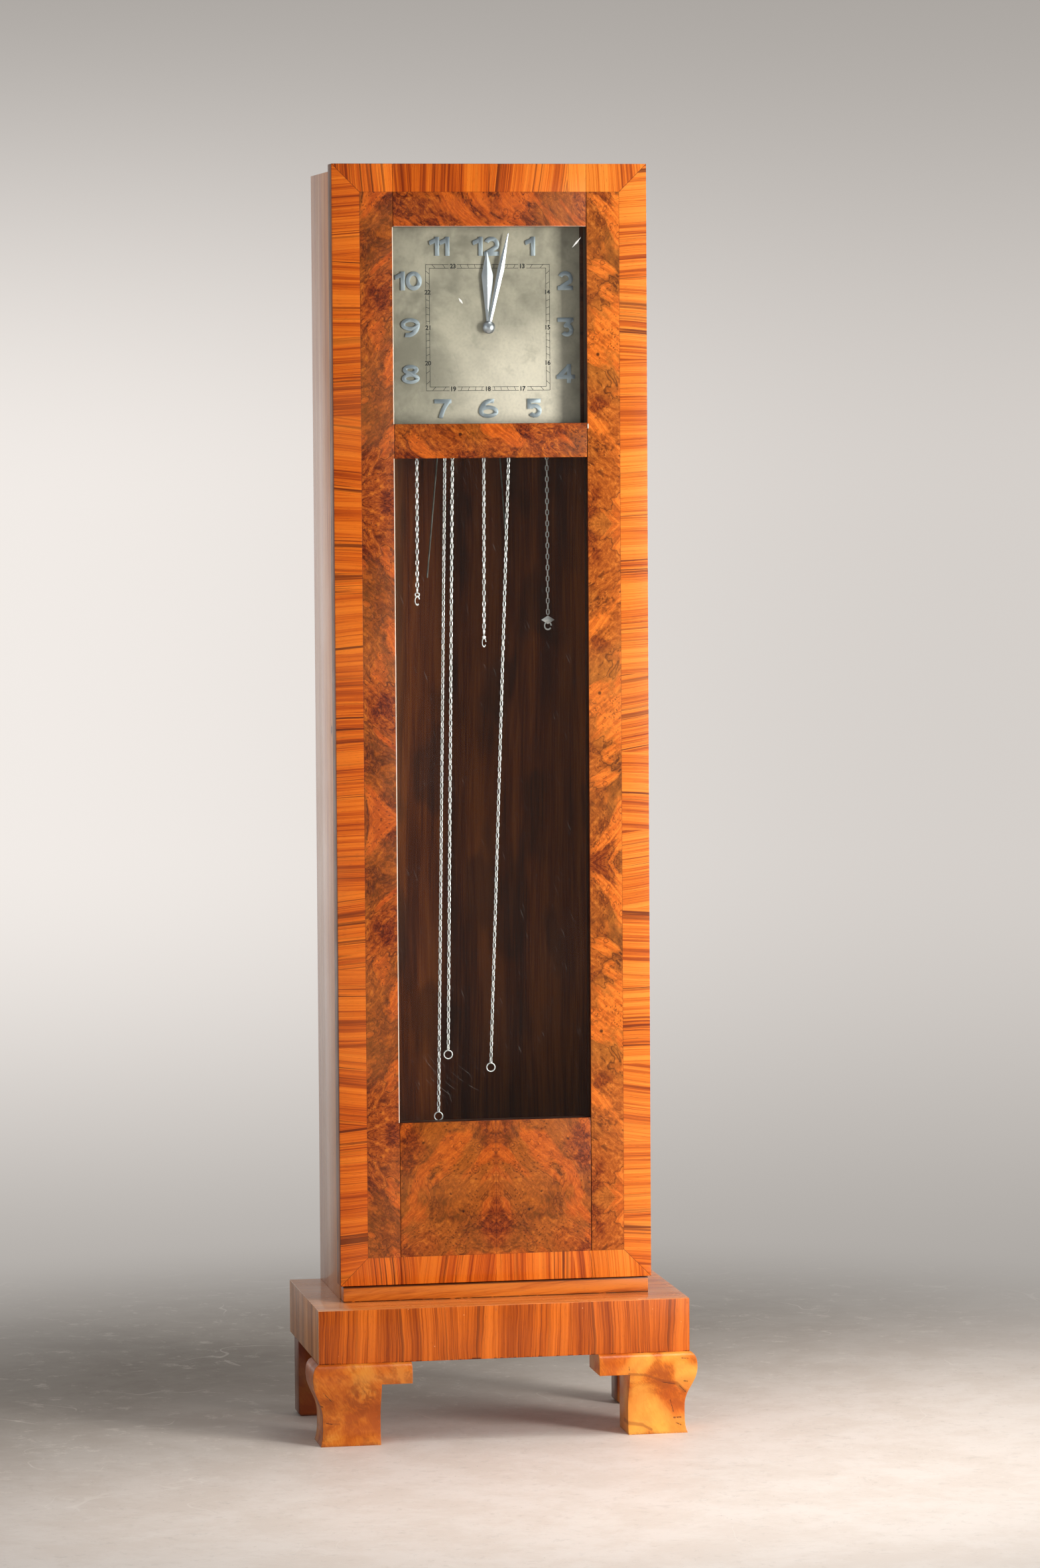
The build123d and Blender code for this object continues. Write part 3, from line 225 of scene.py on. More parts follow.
class Graph:
    """The node tree of one material or world, filled through one method."""

    def __init__(self, name: str, world: bpy.types.World | None = None) -> None:
        """Makes an empty material, or empties a world.

        Args:
            name: The material's name.
            world: The world to fill instead of a new material.
        """
        self.owner = world or bpy.data.materials.new(name)
        self.owner.use_nodes = True
        self.tree = self.owner.node_tree
        self.tree.nodes.clear()
        self._place: Value | None = None

    def add(
        self,
        kind: str,
        settings: dict[str, Any] | None = None,
        inputs: dict[Any, Any] | None = None,
        output: Union[int, str] = 0,
    ) -> Value:
        """Adds a node, its settings first and its inputs after them.

        Args:
            kind: The node's type.
            settings: Its properties; stops are a ramp's places and colours.
            inputs: A number, a colour or a Value for each socket, by index or name.
            output: The output that is wanted.

        Returns:
            That output.
        """
        node = self.tree.nodes.new(kind)
        for name, setting in (settings or {}).items():
            if name == "stops":
                self._set_stops(node.color_ramp, setting)
            else:
                setattr(node, name, setting)
        for name, given in (inputs or {}).items():
            if isinstance(given, Value):
                self.tree.links.new(given.socket, node.inputs[name])
            else:
                node.inputs[name].default_value = given
        return Value(self, node.outputs[output] if node.outputs else None)

    @staticmethod
    def _set_stops(ramp: bpy.types.ColorRamp, stops: Sequence[tuple[float, Colour]]) -> None:
        """Gives a ramp its colours.

        Args:
            ramp: The ramp.
            stops: Places from 0 to 1 and their colours.
        """
        while len(ramp.elements) < len(stops):
            ramp.elements.new(0.5)
        for element, (place, colour) in zip(ramp.elements, stops):
            element.position = place
            element.color = colour

    def place(self) -> Value:
        """Object coordinates.

        Returns:
            The coordinates, in metres.
        """
        if self._place is None:
            self._place = self.add("ShaderNodeTexCoord", output="Object")
        return self._place

    def parts(self, vector: Value) -> tuple[Value, Value, Value]:
        """The three numbers of a vector."""
        outputs = self.add("ShaderNodeSeparateXYZ", None, {0: vector}).socket.node.outputs
        return Value(self, outputs[0]), Value(self, outputs[1]), Value(self, outputs[2])

    def axes(self) -> tuple[Value, Value, Value]:
        """The three object coordinates as numbers."""
        return self.parts(self.place())

    def distance(self, x: Value, z: Value, spot: tuple[float, float]) -> Value:
        """Distance from a spot of a face, in metres."""
        off_x, off_z = x - spot[0], z - spot[1]
        return (off_x * off_x + off_z * off_z).root()

    def stroke(self, x: Value, z: Value, mark: Mark) -> Value:
        """Is 1 on a short straight mark and fades to 0 at its edge.

        Args:
            x: Across the face.
            z: Up the face.
            mark: The mark.

        Returns:
            A number from 0 to 1.
        """
        run_x, run_z = mark.end[0] - mark.start[0], mark.end[1] - mark.start[1]
        square = run_x * run_x + run_z * run_z
        past_x, past_z = x - mark.start[0], z - mark.start[1]
        share = (past_x * (run_x / square) + past_z * (run_z / square)).most(0.0).least(1.0)
        off_x = past_x - share * run_x
        off_z = past_z - share * run_z
        return (off_x * off_x + off_z * off_z).root().fall(mark.width * 0.3, mark.width)

    @staticmethod
    def most_of(values: Iterable[Value]) -> Number:
        """The largest of several numbers.

        Args:
            values: The numbers.

        Returns:
            The largest, or 0 if there are none.
        """
        found: Number = 0.0
        for value in values:
            found = value.most(found)
        return found

    def vector(self, x: Number, y: Number, z: Number) -> Value:
        """Joins three numbers into a vector."""
        return self.add("ShaderNodeCombineXYZ", None, {0: x, 1: y, 2: z})

    def noise(
        self, where: Value, scale: float, detail: float = 2.0, roughness: float = 0.5, bend: float = 0.0
    ) -> Value:
        """Cloudy noise, mostly from 0.3 to 0.7, its scale in patches per metre."""
        inputs = {"Vector": where, "Scale": scale, "Detail": detail, "Roughness": roughness}
        return self.add("ShaderNodeTexNoise", None, {**inputs, "Distortion": bend})

    def cells(self, where: Value, scale: float) -> Value:
        """Distance to the nearest of many scattered points, in cells."""
        return self.add("ShaderNodeTexVoronoi", None, {"Vector": where, "Scale": scale}, "Distance")

    def warped(self, where: Value, scale: float, amount: float) -> Value:
        """Pushes coordinates about.

        Args:
            where: Coordinates.
            scale: Bends in a metre.
            amount: How far they move, in metres.

        Returns:
            The moved coordinates.
        """
        push = self.add("ShaderNodeTexNoise", None, {"Vector": where, "Scale": scale, "Detail": 1.0}, "Color")
        centred = self.add("ShaderNodeVectorMath", {"operation": "SUBTRACT"}, {0: push, 1: (0.5, 0.5, 0.5)})
        settings = {"operation": "MULTIPLY_ADD"}
        return self.add("ShaderNodeVectorMath", settings, {0: centred, 1: (amount,) * 3, 2: where})

    def ramp(self, value: Number, *stops: tuple[float, Colour]) -> Value:
        """Turns a number into a colour."""
        return self.add("ShaderNodeValToRGB", {"stops": stops}, {0: value})

    def mix(self, share: Number, first: Any, second: Any, blend: str = "MIX") -> Value:
        """Mixes two colours, the share being how much of the second."""
        settings = {"data_type": "RGBA", "blend_type": blend}
        return self.add("ShaderNodeMix", settings, {0: share, 6: first, 7: second}, 2)

    def bump(self, height: Value, distance: float) -> Value:
        """Turns a height from 0 to 1 into a normal, the full height being a distance in metres."""
        return self.add("ShaderNodeBump", None, {"Height": height, "Distance": distance})

    def surface(self, colour: Union[Value, Colour], **sockets: Number) -> Value:
        """Adds a surface shader, its sockets under the names in SURFACE_SOCKETS."""
        inputs = {SURFACE_SOCKETS[name]: given for name, given in sockets.items()}
        return self.add("ShaderNodeBsdfPrincipled", None, {"Base Color": colour, **inputs})

    def blend(self, share: Number, first: Value, second: Value) -> Value:
        """Mixes two shaders."""
        return self.add("ShaderNodeMixShader", None, {0: share, 1: first, 2: second})

    def finish(self, colour: Value, **sockets: Number) -> Finish:
        """Covers the material with one surface, given as surface takes it."""
        return self.show(self.surface(colour, **sockets))

    def show(self, shader: Value) -> Finish:
        """Joins a shader to the output.

        Args:
            shader: The shader.

        Returns:
            The finished material.
        """
        world = isinstance(self.owner, bpy.types.World)
        self.add("ShaderNodeOutputWorld" if world else "ShaderNodeOutputMaterial", None, {"Surface": shader})
        return self.owner


# ---- wood
class WoodGraph(Graph):
    """A tree with the figures that walnut shows."""

    def straight_grain(self, along: Value, across: Value, depth: Value, seed: float = 0.0) -> Value:
        """Long even fibres.

        Args:
            along: Coordinate that the fibres follow.
            across: Coordinate across them, in the face.
            depth: Coordinate into the board.
            seed: Which board it is.

        Returns:
            Tone from 0, dark, to 1, light.
        """
        bend = self.noise(self.vector(across * 3.0, along, depth + seed), 1.6, 1.0)
        shifted = across + bend * 0.03
        broad = self.noise(self.vector(shifted, along * 0.05, depth + seed), 42.0, 3.0, 0.55)
        fine = self.noise(self.vector(shifted, along * 0.02, depth + seed), 460.0, 2.0)
        return (broad * 0.65 + fine * 0.35).rise(0.34, 0.66)

    def pores(self, along: Value, across: Value, depth: Value) -> Value:
        """Short dark dashes along the fibres, 1 in a pore and 0 beside it."""
        dashes = self.noise(self.vector(across, along * 0.05, depth), 1900.0, 1.0)
        return dashes.rise(0.66, 0.74)

    def stripes(self, along: Value, across: Value, seed: Number, leaf: float) -> tuple[Value, Value]:
        """Straight-grained veneer laid across an edge, in leaves that each lean a little differently.

        Args:
            along: Coordinate along the edge, so across the fibres.
            across: Coordinate across the edge, so along the fibres.
            seed: Which edge it is.
            leaf: Width of a leaf.

        Returns:
            Tone from 0 to 1, and the dark lines from 0 to 1.
        """
        number = (along / leaf + seed).floor()
        chance = self.add("ShaderNodeTexWhiteNoise", {"noise_dimensions": "1D"}, {"W": number})
        lean = (chance - 0.5) * 0.28
        bend = self.noise(self.vector(along, across * 1.6, seed), 6.0, 1.0) - 0.5
        shifted = along + across * lean + bend * 0.007
        lane = self.vector(shifted, across * 0.008, chance * 9.0 + seed)
        broad = self.noise(lane, 34.0, 3.0, 0.6)
        middle = self.noise(lane, 150.0, 3.0, 0.6)
        fine = self.noise(lane, 700.0, 2.0)
        tone = (broad * 0.42 + middle * 0.30 + fine * 0.28).rise(0.36, 0.60)
        groups = self.noise(lane, 26.0, 1.0).rise(0.49, 0.60)
        lines = middle.rise(0.57, 0.62) * groups
        hair = self.noise(lane, 330.0, 1.0).rise(0.61, 0.65) * (0.15 + groups * 0.85) * 0.7
        return tone, lines.most(hair)


@dataclass(frozen=True)
class DoorVeneer:
    """Burr walnut in a crossbanded frame, laid over the whole front of the door."""

    half_width: float = at_side("stile_right", Side.RIGHT)
    bottom: float = at_side("stile_right", Side.FOOT)
    top: float = at_side("stile_right", Side.HEAD)
    front: float = at_side("stile_right", Side.FRONT)
    back: float = at_side("stile_right", Side.BACK)
    seam: float = at_side("stile_right", Side.LEFT)
    window_top: float = at_side("top_rail", Side.FOOT)
    dial_bottom: float = at_side("middle_rail", Side.HEAD)
    trunk_top: float = at_side("middle_rail", Side.FOOT)
    trunk_bottom: float = at_side("bottom_panel", Side.HEAD)
    band: float = 0.0415
    left_fold: tuple[float, float] = (0.454, 0.470)
    right_fold: tuple[float, float] = (0.3485, 0.505)
    hair_line: float = 0.0005

    def build(self) -> Finish:
        """Makes the material.

        Returns:
            The door's veneer, with plain wood on the edges and the back.
        """
        graph = WoodGraph("door_veneer")
        x, y, z = graph.axes()
        from_side = self.half_width - abs(x)
        from_end = (z - self.bottom).least(self.top - z)
        on_side = (from_end - from_side).rise(-0.0001, 0.0001)
        in_band = from_side.least(from_end).fall(self.band - 0.0001, self.band + 0.0001)

        burr, burr_height, burr_seams = self._burr(graph, x, z)
        band, band_height = self._band(graph, x, z, on_side)
        face = graph.mix(in_band, burr, band)

        mitre = (from_side - from_end).line(0.0, self.hair_line * 1.4) * in_band
        border = from_side.least(from_end).line(self.band, self.hair_line)
        seams = mitre.most(border * 0.6).most(burr_seams * (1.0 - in_band)).least(1.2)
        face = graph.mix(seams * 0.75, face, paint(48, 16, 7))

        rubbed = graph.noise(graph.place(), 5.0, 3.0).rise(0.45, 0.7) * 0.10
        face = graph.mix(rubbed, face, paint(214, 140, 80))
        # painted highlights along the window edges and a painted glint
        face = graph.mix(self._painted_edge_highlights(x, z) * 0.85, face, paint(250, 236, 212))
        plain, plain_height = self._plain(graph, x, y, z)
        on_front = y.fall(self.front + 0.0003, self.front + 0.0007)
        colour = graph.mix(on_front, plain, face)
        height = burr_height * (1.0 - in_band) + band_height * in_band
        height = height * on_front + plain_height * (1.0 - on_front)
        smear = graph.noise(graph.place(), 14.0, 4.0, 0.6).rise(0.3, 0.7)
        return graph.finish(
            colour,
            roughness=0.30 + smear * 0.14,
            normal=graph.bump(height - seams * 0.8, 0.00018),
            coat=0.2,
            coat_roughness=0.1,
            specular=0.1,
        )

    def _painted_edge_highlights(self, x: Value, z: Value) -> Value:
        """Painted highlights along the left and top edges of the windows, where the light catches them, and a
        painted glint on the right stile at the dial window's lower corner.

        Args:
            x: Across the door.
            z: Up the door.

        Returns:
            1 on them and 0 beside them.
        """
        soft = 0.0005
        trunk = z.rise(self.trunk_bottom, self.trunk_bottom + 2 * soft)
        trunk = trunk * z.fall(self.trunk_top - soft, self.trunk_top + soft)
        dial = z.rise(self.dial_bottom - soft, self.dial_bottom + soft)
        dial = dial * z.fall(self.window_top - 2 * soft, self.window_top)
        upright = x.line(-self.seam - 0.0007, 0.0010) * trunk.most(dial)
        level = z.line(self.window_top + 0.0004, 0.0007) * abs(x).fall(self.seam - 2 * soft, self.seam)
        glint = x.line(self.seam + 0.0012, 0.0014) * z.line(self.dial_bottom - 0.005, 0.0048)
        return upright.most(level * 0.6).most(glint.rise(0.2, 0.5))

    def _burr(self, graph: WoodGraph, x: Value, z: Value) -> tuple[Value, Value, Value]:
        """The burr field in its leaves.

        Args:
            graph: The tree.
            x: Across the door.
            z: Up the door.

        Returns:
            Colour, height from 0 to 1 and the joints between leaves.
        """
        edge = 0.0001
        in_left = x.fall(-self.seam - edge, -self.seam + edge)
        in_right = x.rise(self.seam - edge, self.seam + edge)
        strips = in_left + in_right
        low = z.fall(self.trunk_bottom - edge, self.trunk_bottom + edge) * (1.0 - strips)
        high = z.rise(self.window_top - edge, self.window_top + edge) * (1.0 - strips)
        left_z = (z - self.left_fold[0]).folded(self.left_fold[1])
        right_z = (z - self.right_fold[0]).folded(self.right_fold[1])
        leaf_x = x * (1.0 - strips - low) + (abs(x) - self.seam) * strips + abs(x) * low
        leaf_z = z * (1.0 - strips) + left_z * in_left + right_z * in_right
        seed = in_left * 3.1 + in_right * 7.7 + low * 1.3 + high * 5.2
        where = graph.vector(leaf_x, leaf_z, seed)

        flow = graph.warped(where, 9.0, 0.055)
        drift = graph.warped(flow, 36.0, 0.012)
        flow_x, flow_z, _ = graph.parts(flow)
        drift_x, drift_z, _ = graph.parts(drift)
        bands = graph.noise(graph.vector(flow_x + flow_z, (flow_z - flow_x) * 0.38, seed), 17.0, 3.0, 0.55)
        streaks = graph.noise(graph.vector(flow_x + flow_z, (flow_z - flow_x) * 0.07, seed), 190.0, 3.0, 0.6)
        brushed = graph.vector(drift_x + drift_z, (drift_z - drift_x) * 0.32, seed)
        strokes = graph.noise(brushed, 120.0, 6.0, 0.78)
        curls = graph.noise(drift, 150.0, 5.0, 0.75, 0.8)
        patches = graph.noise(drift, 17.0, 4.0, 0.6)
        pulled = self._low_figure(graph, abs(x), z) * low
        ragged = bands + (patches - 0.5) * 0.28 + pulled * 0.05 - in_left * 0.015 + in_right * 0.03
        light = ragged.rise(0.52, 0.62)
        dark = (patches + in_left * 0.035 - in_right * 0.015 - pulled * 0.05).rise(0.47, 0.58)
        dark = dark * (1.0 - light * 0.9)
        tone = (strokes * 0.55 + curls * 0.45).rise(0.37, 0.63)
        tone = tone * (1.0 - in_right * 0.35 - low * 0.15) + in_right * 0.19 + low * 0.07
        cluster = graph.noise(flow, 24.0, 2.0).rise(0.49, 0.56)
        pips = graph.cells(drift, 190.0).fall(0.12, 0.34) * cluster
        eyes = graph.cells(drift, 72.0) + (curls - 0.5) * 0.42 + (strokes - 0.5) * 0.3
        rings = eyes.line(0.31, 0.08).most(eyes.fall(0.06, 0.14))
        rings = rings * graph.noise(flow, 17.0, 1.0).rise(0.52, 0.58)
        outline = ragged.line(0.535, 0.010) * graph.noise(where, 21.0, 2.0).rise(0.47, 0.56)
        cracks = patches.line(0.47, 0.006) * graph.noise(where, 13.0, 1.0).rise(0.53, 0.60)
        knots = graph.cells(where, 19.0).fall(0.03, 0.07)

        brown = graph.ramp(
            tone,
            (0.02, paint(92, 34, 5)),
            (0.34, paint(140, 60, 12)),
            (0.66, paint(170, 80, 18)),
            (0.98, paint(206, 112, 34)),
        )
        deep = graph.ramp(
            tone,
            (0.02, paint(48, 10, 3)),
            (0.34, paint(98, 32, 6)),
            (0.66, paint(134, 54, 10)),
            (0.98, paint(176, 82, 22)),
        )
        pale = graph.mix(streaks.fall(0.40, 0.56), paint(224, 108, 26), paint(194, 84, 17))
        pale = graph.mix(tone.fall(0.1, 0.7) * 0.45, pale, paint(160, 66, 14))
        colour = graph.mix(dark, brown, deep)
        colour = graph.mix(light * (0.8 - low * 0.35), colour, pale)
        olive = graph.noise(flow, 7.0, 2.0).rise(0.45, 0.6) * (1.0 - light) * 0.3
        colour = graph.mix(olive, colour, paint(150, 92, 26))
        gnarled = graph.noise(flow, 15.0, 4.0, 0.65).rise(0.54, 0.62) * (0.35 + tone.fall(0.2, 0.8) * 0.65)
        colour = graph.mix(gnarled * (in_left * 0.7 + in_right * 0.35), colour, paint(62, 18, 6))
        colour = graph.mix(pips * 0.65, colour, paint(50, 14, 5))
        colour = graph.mix(rings * 0.5, colour, paint(74, 22, 6))
        colour = graph.mix(outline.most(cracks) * 0.6, colour, paint(48, 14, 5))
        wobble = (curls - 0.5) * 0.006
        knots = knots.most(self._low_knots(graph, abs(x) + wobble, z + (strokes - 0.5) * 0.006) * low)
        colour = graph.mix(knots * 0.85, colour, paint(34, 10, 5))
        # painted light: the right strip is lightened as if lit from the right; the door is also made a little
        # paler towards the bottom
        painted_light_right_paler_low = in_right + z.fall(0.25, 0.45) * (1.0 - in_right) * 0.12
        colour = graph.mix(painted_light_right_paler_low, colour, (1.4, 1.74, 2.75, 1.0), "MULTIPLY")
        # painted shade: the left strip and the burr above the dial window are darkened
        colour = graph.mix(in_left * 0.12 + high * 0.14, colour, paint(96, 26, 6))

        height = tone - rings * 0.4 - outline * 0.4
        seams = x.line(-self.seam, self.hair_line * 1.2) * 0.8
        seams = seams.most(x.line(self.seam, self.hair_line * 2.0) * (1.0 + low))
        seams = seams.most(x.line(0.0, self.hair_line) * low * 0.8)
        left_seams = left_z.least(self.left_fold[1] - left_z).fall(0.0, self.hair_line)
        seams = seams.most(left_seams * in_left * 0.6)
        right_seams = right_z.least(self.right_fold[1] - right_z).fall(0.0, self.hair_line)
        seams = seams.most(right_seams * in_right * 0.6)
        return colour, height, seams

    @staticmethod
    def _low_figure(graph: WoodGraph, out: Value, z: Value) -> Value:
        """Where the panel under the trunk window runs pale, above 0, and dark, below 0.

        Args:
            graph: The tree.
            out: Distance from the panel's middle joint.
            z: Up the door.

        Returns:
            A number from -1 to 1.
        """
        fan = graph.stroke(out, z, Mark((0.050, 0.462), (0.118, 0.345), 0.034))
        crown = graph.stroke(out, z, Mark((0.022, 0.440), (0.060, 0.425), 0.030))
        tail = graph.stroke(out, z, Mark((0.012, 0.330), (0.050, 0.250), 0.026))
        corner = graph.stroke(out, z, Mark((0.128, 0.462), (0.108, 0.425), 0.032))
        heart = graph.stroke(out, z, Mark((0.0, 0.400), (0.004, 0.380), 0.018))
        return fan.most(crown * 0.7).most(tail * 0.5) - corner.most(heart * 0.5)

    @staticmethod
    def _low_knots(graph: WoodGraph, out: Value, z: Value) -> Value:
        """The pin knots, eyes and swirls of the panel under the trunk window.

        Args:
            graph: The tree.
            out: Distance from the panel's middle joint.
            z: Up the door.

        Returns:
            A number, 1 on a knot and 0 beside it.
        """
        marks = graph.distance(out, z, (0.069, 0.362)).fall(0.0008, 0.0024)
        marks = marks.most(graph.distance(out, z, (0.050, 0.335)).fall(0.0010, 0.0026))
        marks = marks.most(graph.distance(out, z, (0.110, 0.440)).fall(0.0010, 0.0032))
        for spot, radius in (((0.031, 0.398), 0.0055), ((0.054, 0.278), 0.0075), ((0.026, 0.433), 0.006)):
            away = graph.distance(out, z, spot)
            marks = marks.most(away.line(radius, 0.0010) * 0.45).most(away.line(radius * 0.45, 0.0011) * 0.5)
        return marks

    def _band(self, graph: WoodGraph, x: Value, z: Value, on_side: Value) -> tuple[Value, Value]:
        """The crossbanding round the field, its grain square to the door's edge.

        Args:
            graph: The tree.
            x: Across the door.
            z: Up the door.
            on_side: Is 1 beside the door's long edges and 0 at its ends.

        Returns:
            Colour and height from 0 to 1.
        """
        along = z * on_side + x * (1.0 - on_side)
        across = abs(x) * on_side + z * (1.0 - on_side)
        seed = x.rise(-0.001, 0.001) * on_side * 11.3 + (1.0 - on_side) * (5.0 + z.rise(1.0, 1.01) * 7.0)
        tone, lines = graph.stripes(along, across, seed, 0.117)
        colour = graph.ramp(
            tone,
            (0.0, paint(132, 48, 10)),
            (0.3, paint(180, 75, 14)),
            (0.6, paint(208, 96, 19)),
            (1.0, paint(228, 119, 31)),
        )
        colour = graph.mix(lines * 0.9, colour, paint(92, 32, 10))
        pores = graph.pores(across, along, seed)
        colour = graph.mix(pores * 0.5, colour, paint(92, 34, 14))
        # painted light: the crossband is lightened towards the right, as if lit from there
        colour = graph.mix(x.rise(-0.05, 0.24), colour, (1.28, 1.62, 2.9, 1.0), "MULTIPLY")
        return colour, tone * 0.5 + 0.4 - pores * 0.4 - lines * 0.1

    def _plain(self, graph: WoodGraph, x: Value, y: Value, z: Value) -> tuple[Value, Value]:
        """The door's edges, window reveals and back.

        Args:
            graph: The tree.
            x: Across the door.
            y: Into the door.
            z: Up the door.

        Returns:
            Colour and height from 0 to 1.
        """
        tone = graph.straight_grain(z, x + y, y)
        colour = graph.ramp(
            tone, (0.0, paint(64, 32, 16)), (0.6, paint(104, 58, 30)), (1.0, paint(132, 80, 44))
        )
        middle = (self.trunk_top + self.dial_bottom) / 2
        reveal = abs(x).fall(self.seam - 0.0001, self.seam + 0.0015)
        reveal = reveal.most(z.line(middle, 0.03) * abs(x).fall(self.seam + 0.015, self.seam + 0.025))
        reveal = reveal * y.fall(self.back - 0.0008, self.back - 0.0004)
        colour = graph.mix(reveal * 0.75, colour, paint(78, 18, 7))
        outer = abs(x).rise(self.half_width - 0.0008, self.half_width - 0.0003)
        colour = graph.mix(outer, colour, (1.7, 1.6, 1.5, 1.0), "MULTIPLY")
        # painted shade on the door's bottom edge, for the shadowed gap above the rail
        under = z.fall(self.bottom + 0.0002, self.bottom + 0.0008)
        colour = graph.mix(under * 0.8, colour, paint(34, 10, 4))
        return colour, tone


@dataclass(frozen=True)
class PlinthVeneer:
    """Straight walnut laid upright round the plinth, the same leaf repeated along the front."""

    half_width: float = at_side("plinth_side_right", Side.RIGHT)
    back: float = at_side("plinth_side_right", Side.BACK)
    top: float = at_side("plinth_front", Side.HEAD)
    foot: float = at_side("plinth_front", Side.FOOT)
    case_left: float = at_side("case_side_left", Side.LEFT)
    leaf: float = 0.29
    pivot: float = 0.16
    chip: Mark = Mark((-0.049, 0.1245), (-0.038, 0.1242), 0.0022)

    def build(self) -> Finish:
        """Makes the material.

        Returns:
            The plinth's veneer.
        """
        graph = WoodGraph("plinth_veneer")
        x, y, z = graph.axes()
        on_top = z.rise(self.top - 0.0006, self.top - 0.0003)
        on_side = abs(x).rise(self.half_width - 0.0008, self.half_width - 0.0003) * (1.0 - on_top)
        along = ((x + self.half_width) / self.leaf).fraction() * self.leaf
        run = along * (1.0 - on_side) + y * on_side
        wander = graph.noise(graph.vector(run, z * 1.4, on_side), 8.0, 2.0) - 0.5
        lean = graph.noise(graph.vector(run, 0.0, on_side + 5.0), 9.0, 1.0) - 0.5
        lane = graph.vector(run + wander * 0.012 + (z - self.pivot) * lean * 0.4, z * 0.010, on_side * 3.0)
        broad = graph.noise(lane, 22.0, 3.0, 0.6)
        middle = graph.noise(lane, 150.0, 3.0, 0.65)
        fine = graph.noise(lane, 640.0, 2.0)
        groups = broad.fall(0.47, 0.57)
        tone = (broad * 0.45 + middle * 0.31 + fine * 0.24).rise(0.39, 0.59)
        lines = middle.rise(0.55, 0.61) * (0.15 + groups * 0.85)
        pores = graph.pores(z, run, y)
        colour = graph.ramp(
            tone,
            (0.0, paint(138, 56, 12)),
            (0.35, paint(172, 78, 17)),
            (0.7, paint(200, 95, 22)),
            (1.0, paint(222, 114, 34)),
        )
        colour = graph.mix(lines * 0.7, colour, paint(96, 38, 15))
        colour = graph.mix(pores * 0.35, colour, paint(88, 34, 14))
        # painted sheen: the plinth's left side is paled, as by the pale surroundings it reflects at a grazing
        # angle
        painted_left_sheen = graph.ramp(
            tone, (0.0, paint(132, 82, 52)), (0.5, paint(186, 124, 80)), (1.0, paint(212, 150, 100))
        )
        painted_left_sheen = graph.mix(pores * 0.5, painted_left_sheen, paint(64, 40, 26))
        colour = graph.mix(on_side * x.fall(-0.1, 0.1), colour, painted_left_sheen)
        flat = graph.straight_grain(x, y, z, 4.0)
        top_colour = graph.ramp(flat, (0.0, paint(190, 100, 42)), (1.0, paint(244, 152, 78)))
        # painted reflection of the case side on the polished plinth top, left of the case
        painted_case_reflection = x.fall(self.case_left - 0.0025, self.case_left + 0.0075)
        top_colour = graph.mix(painted_case_reflection * 0.5, top_colour, paint(208, 168, 134))
        colour = graph.mix(on_top, colour, top_colour)
        rough = graph.noise(graph.place(), 160.0, 2.0).rise(0.52, 0.6)
        chipped = z.fall(self.foot + 0.0003, self.foot + 0.0021) * rough
        chipped = chipped.most(graph.stroke(x, z, self.chip))
        colour = graph.mix(chipped * 0.8, colour, paint(60, 26, 12))
        dents = graph.cells(graph.place(), 42.0).fall(0.02, 0.04)
        colour = graph.mix(dents * 0.7, colour, paint(238, 176, 120))
        dust = on_top * graph.noise(graph.place(), 30.0, 4.0, 0.7).rise(0.5, 0.8) * 0.12
        colour = graph.mix(dust, colour, paint(196, 176, 156))
        bare = y.rise(self.back - 0.0008, self.back - 0.0003)
        plain = graph.ramp(flat, (0.0, paint(104, 66, 40)), (1.0, paint(152, 106, 68)))
        colour = graph.mix(bare, colour, plain)
        smear = graph.noise(graph.place(), 12.0, 4.0, 0.6).rise(0.3, 0.7)
        return graph.finish(
            colour,
            roughness=0.28 + smear * 0.16 - on_top * 0.12 + bare * 0.3,
            normal=graph.bump(tone * 0.5 - pores * 0.6 - chipped, 0.00014),
            coat=0.15 + on_top * 0.35,
            coat_roughness=0.05,
            specular=0.15,
        )


